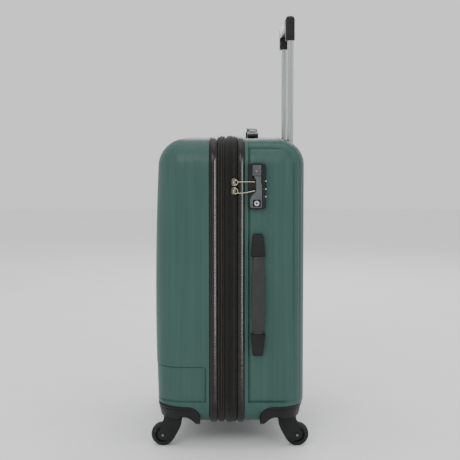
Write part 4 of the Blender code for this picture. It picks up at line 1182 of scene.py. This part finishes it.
def soft_band(inset, span, thickness, sag, seed, folds):
    """A loose band of cloth round the case, with pleats along it."""
    rows = []
    ys = [span[0] + (span[1] - span[0]) * i / 16 for i in range(17)]
    for x, z, nx, nz in PATH:
        outer, inner = [], []
        for y in ys:
            share = (y - span[0]) / (span[1] - span[0])
            pleat = 0.5 - 0.5 * math.cos(2 * math.pi * folds * share)
            loose_in = 0.35 * (0.5 + noise.noise(Vector((x * 18, y * 30, z * 18 + seed))))
            sunk = sag * min(1.0, max(0.0, 0.65 * pleat + loose_in))
            reach = -inset - sunk * math.sin(math.pi * share) ** 0.5
            outer.append((x + nx * reach, y, z + nz * reach))
            inner.append((x + nx * (reach - thickness), y, z + nz * (reach - thickness)))
        rows.append(outer + inner[::-1])
    return looped(rows, True)


def make_sleeve():
    low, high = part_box("expansion_sleeve")
    mesh = soft_band(0.0054, (low.y, high.y), 0.0006, 0.0008, 5.0, 4)
    mesh = in_case(mesh)
    piece = add_piece("expansion_sleeve_cloth", mesh, "black_fabric", "lid_frame", ["expansion_sleeve"], 60)


def make_hinge_cloth():
    """The cloth that joins the lid to the case along the hinge side; the real cloth folds as the lid swings,
    but here it rides rigidly with the back case.
    """
    low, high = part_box("hinge_strip")
    x_out, x_in = low.x, low.x + 0.0011
    ys = [0.0054 + 0.0106 * i / 10 for i in range(11)]
    zs = steps_between(low.z, high.z, 0.006) + [high.z]
    rows = []
    for z in zs:
        outer, inner = [], []
        for y in ys:
            swell = 0.00035 * noise.noise(Vector((y * 90, z * 34, 2.0)))
            dip = -0.0007 * math.exp(-(((y - 0.0100) / 0.0014) ** 2))
            outer.append((x_out + swell - dip, y, z))
            inner.append((x_in + swell - dip, y, z))
        rows.append(outer + inner[::-1])
    bm = bmesh.new()
    bm.from_mesh(looped(rows, False))
    bmesh.ops.triangulate(bm, faces=[f for f in bm.faces if len(f.verts) > 4])
    mesh = from_bmesh(bm)
    piece = add_piece("hinge_cloth", mesh, "black_fabric", "back_case", ["hinge_strip"], 60)


# ---------------------------------------------------------------- light, floor and camera
def area_light(name, place, target, size, power, colour=(1.0, 1.0, 1.0)):
    light = bpy.data.lights.new(name, "AREA")
    light.shape = "RECTANGLE"
    light.size, light.size_y = size
    light.energy = power
    light.color = colour
    obj = bpy.data.objects.new(name, light)
    obj.visible_camera = False
    obj.location = place
    obj.rotation_euler = (Vector(target) - Vector(place)).to_track_quat("-Z", "Y").to_euler()
    bpy.context.scene.collection.objects.link(obj)
    return obj


def make_studio():
    floor = Nodes("studio_floor", (0.90, 0.90, 0.90), 0.7)
    shade = floor.noise(6.0, detail=4.0)
    floor.colour(floor.mix(floor.spread(shade, 0.0, 1.0), (0.89, 0.89, 0.89), (0.92, 0.92, 0.92)))
    floor.bump(floor.noise(350.0), 0.05, 0.0005)
    mesh = from_bmesh(box_bmesh((-6, -6, -0.02), (6, 6, 0.0)))
    mesh.materials.append(floor.material)
    ground = bpy.data.objects.new("studio_floor", mesh)
    bpy.context.scene.collection.objects.link(ground)
    world = bpy.data.worlds.new("studio")
    world.use_nodes = True
    background = world.node_tree.nodes["Background"]
    background.inputs["Color"].default_value = (1.0, 1.0, 1.0, 1.0)
    background.inputs["Strength"].default_value = 0.95
    bpy.context.scene.world = world
    middle = (0.0, 0.0, 0.4)
    area_light("key", (2.7, -0.8, 2.2), middle, (1.3, 1.3), 30)
    area_light("fill", (1.9, 2.0, 1.2), middle, (0.9, 0.9), 5)
    area_light("top", (0.0, 0.0, 3.0), middle, (2.4, 2.4), 18)
    area_light("rear", (-2.4, 0.4, 1.8), middle, (1.6, 1.6), 18)
    strip = area_light("strip", (1.05, 0.46, 0.45), (0.22, 0.0, 0.42), (0.26, 1.1), 21.0)
    glossy = bpy.data.collections.new("piping_light_receivers")
    for name in ("front_piping", "rear_piping"):
        glossy.objects.link(bpy.data.objects[name])
    strip.light_linking.receiver_collection = glossy


def make_camera():
    """A level look at the lock side from two metres off, at the height of the case's top."""
    camera = bpy.data.cameras.new("camera")
    camera.lens = 75.7
    camera.sensor_width = 36.0
    camera.shift_y = -0.0975
    camera.clip_start = 0.05
    obj = bpy.data.objects.new("camera", camera)
    obj.location = (2.217, 0.0, 0.677)
    obj.rotation_euler = (math.radians(90 - 3.31), 0.0, math.radians(90))
    bpy.context.scene.collection.objects.link(obj)
    bpy.context.scene.camera = obj


make_shells()
make_gusset()
make_casters()
make_trolley()
make_handles()
make_lock()
make_sliders()
make_linings()
make_sleeve()
make_hinge_cloth()
make_studio()
make_camera()
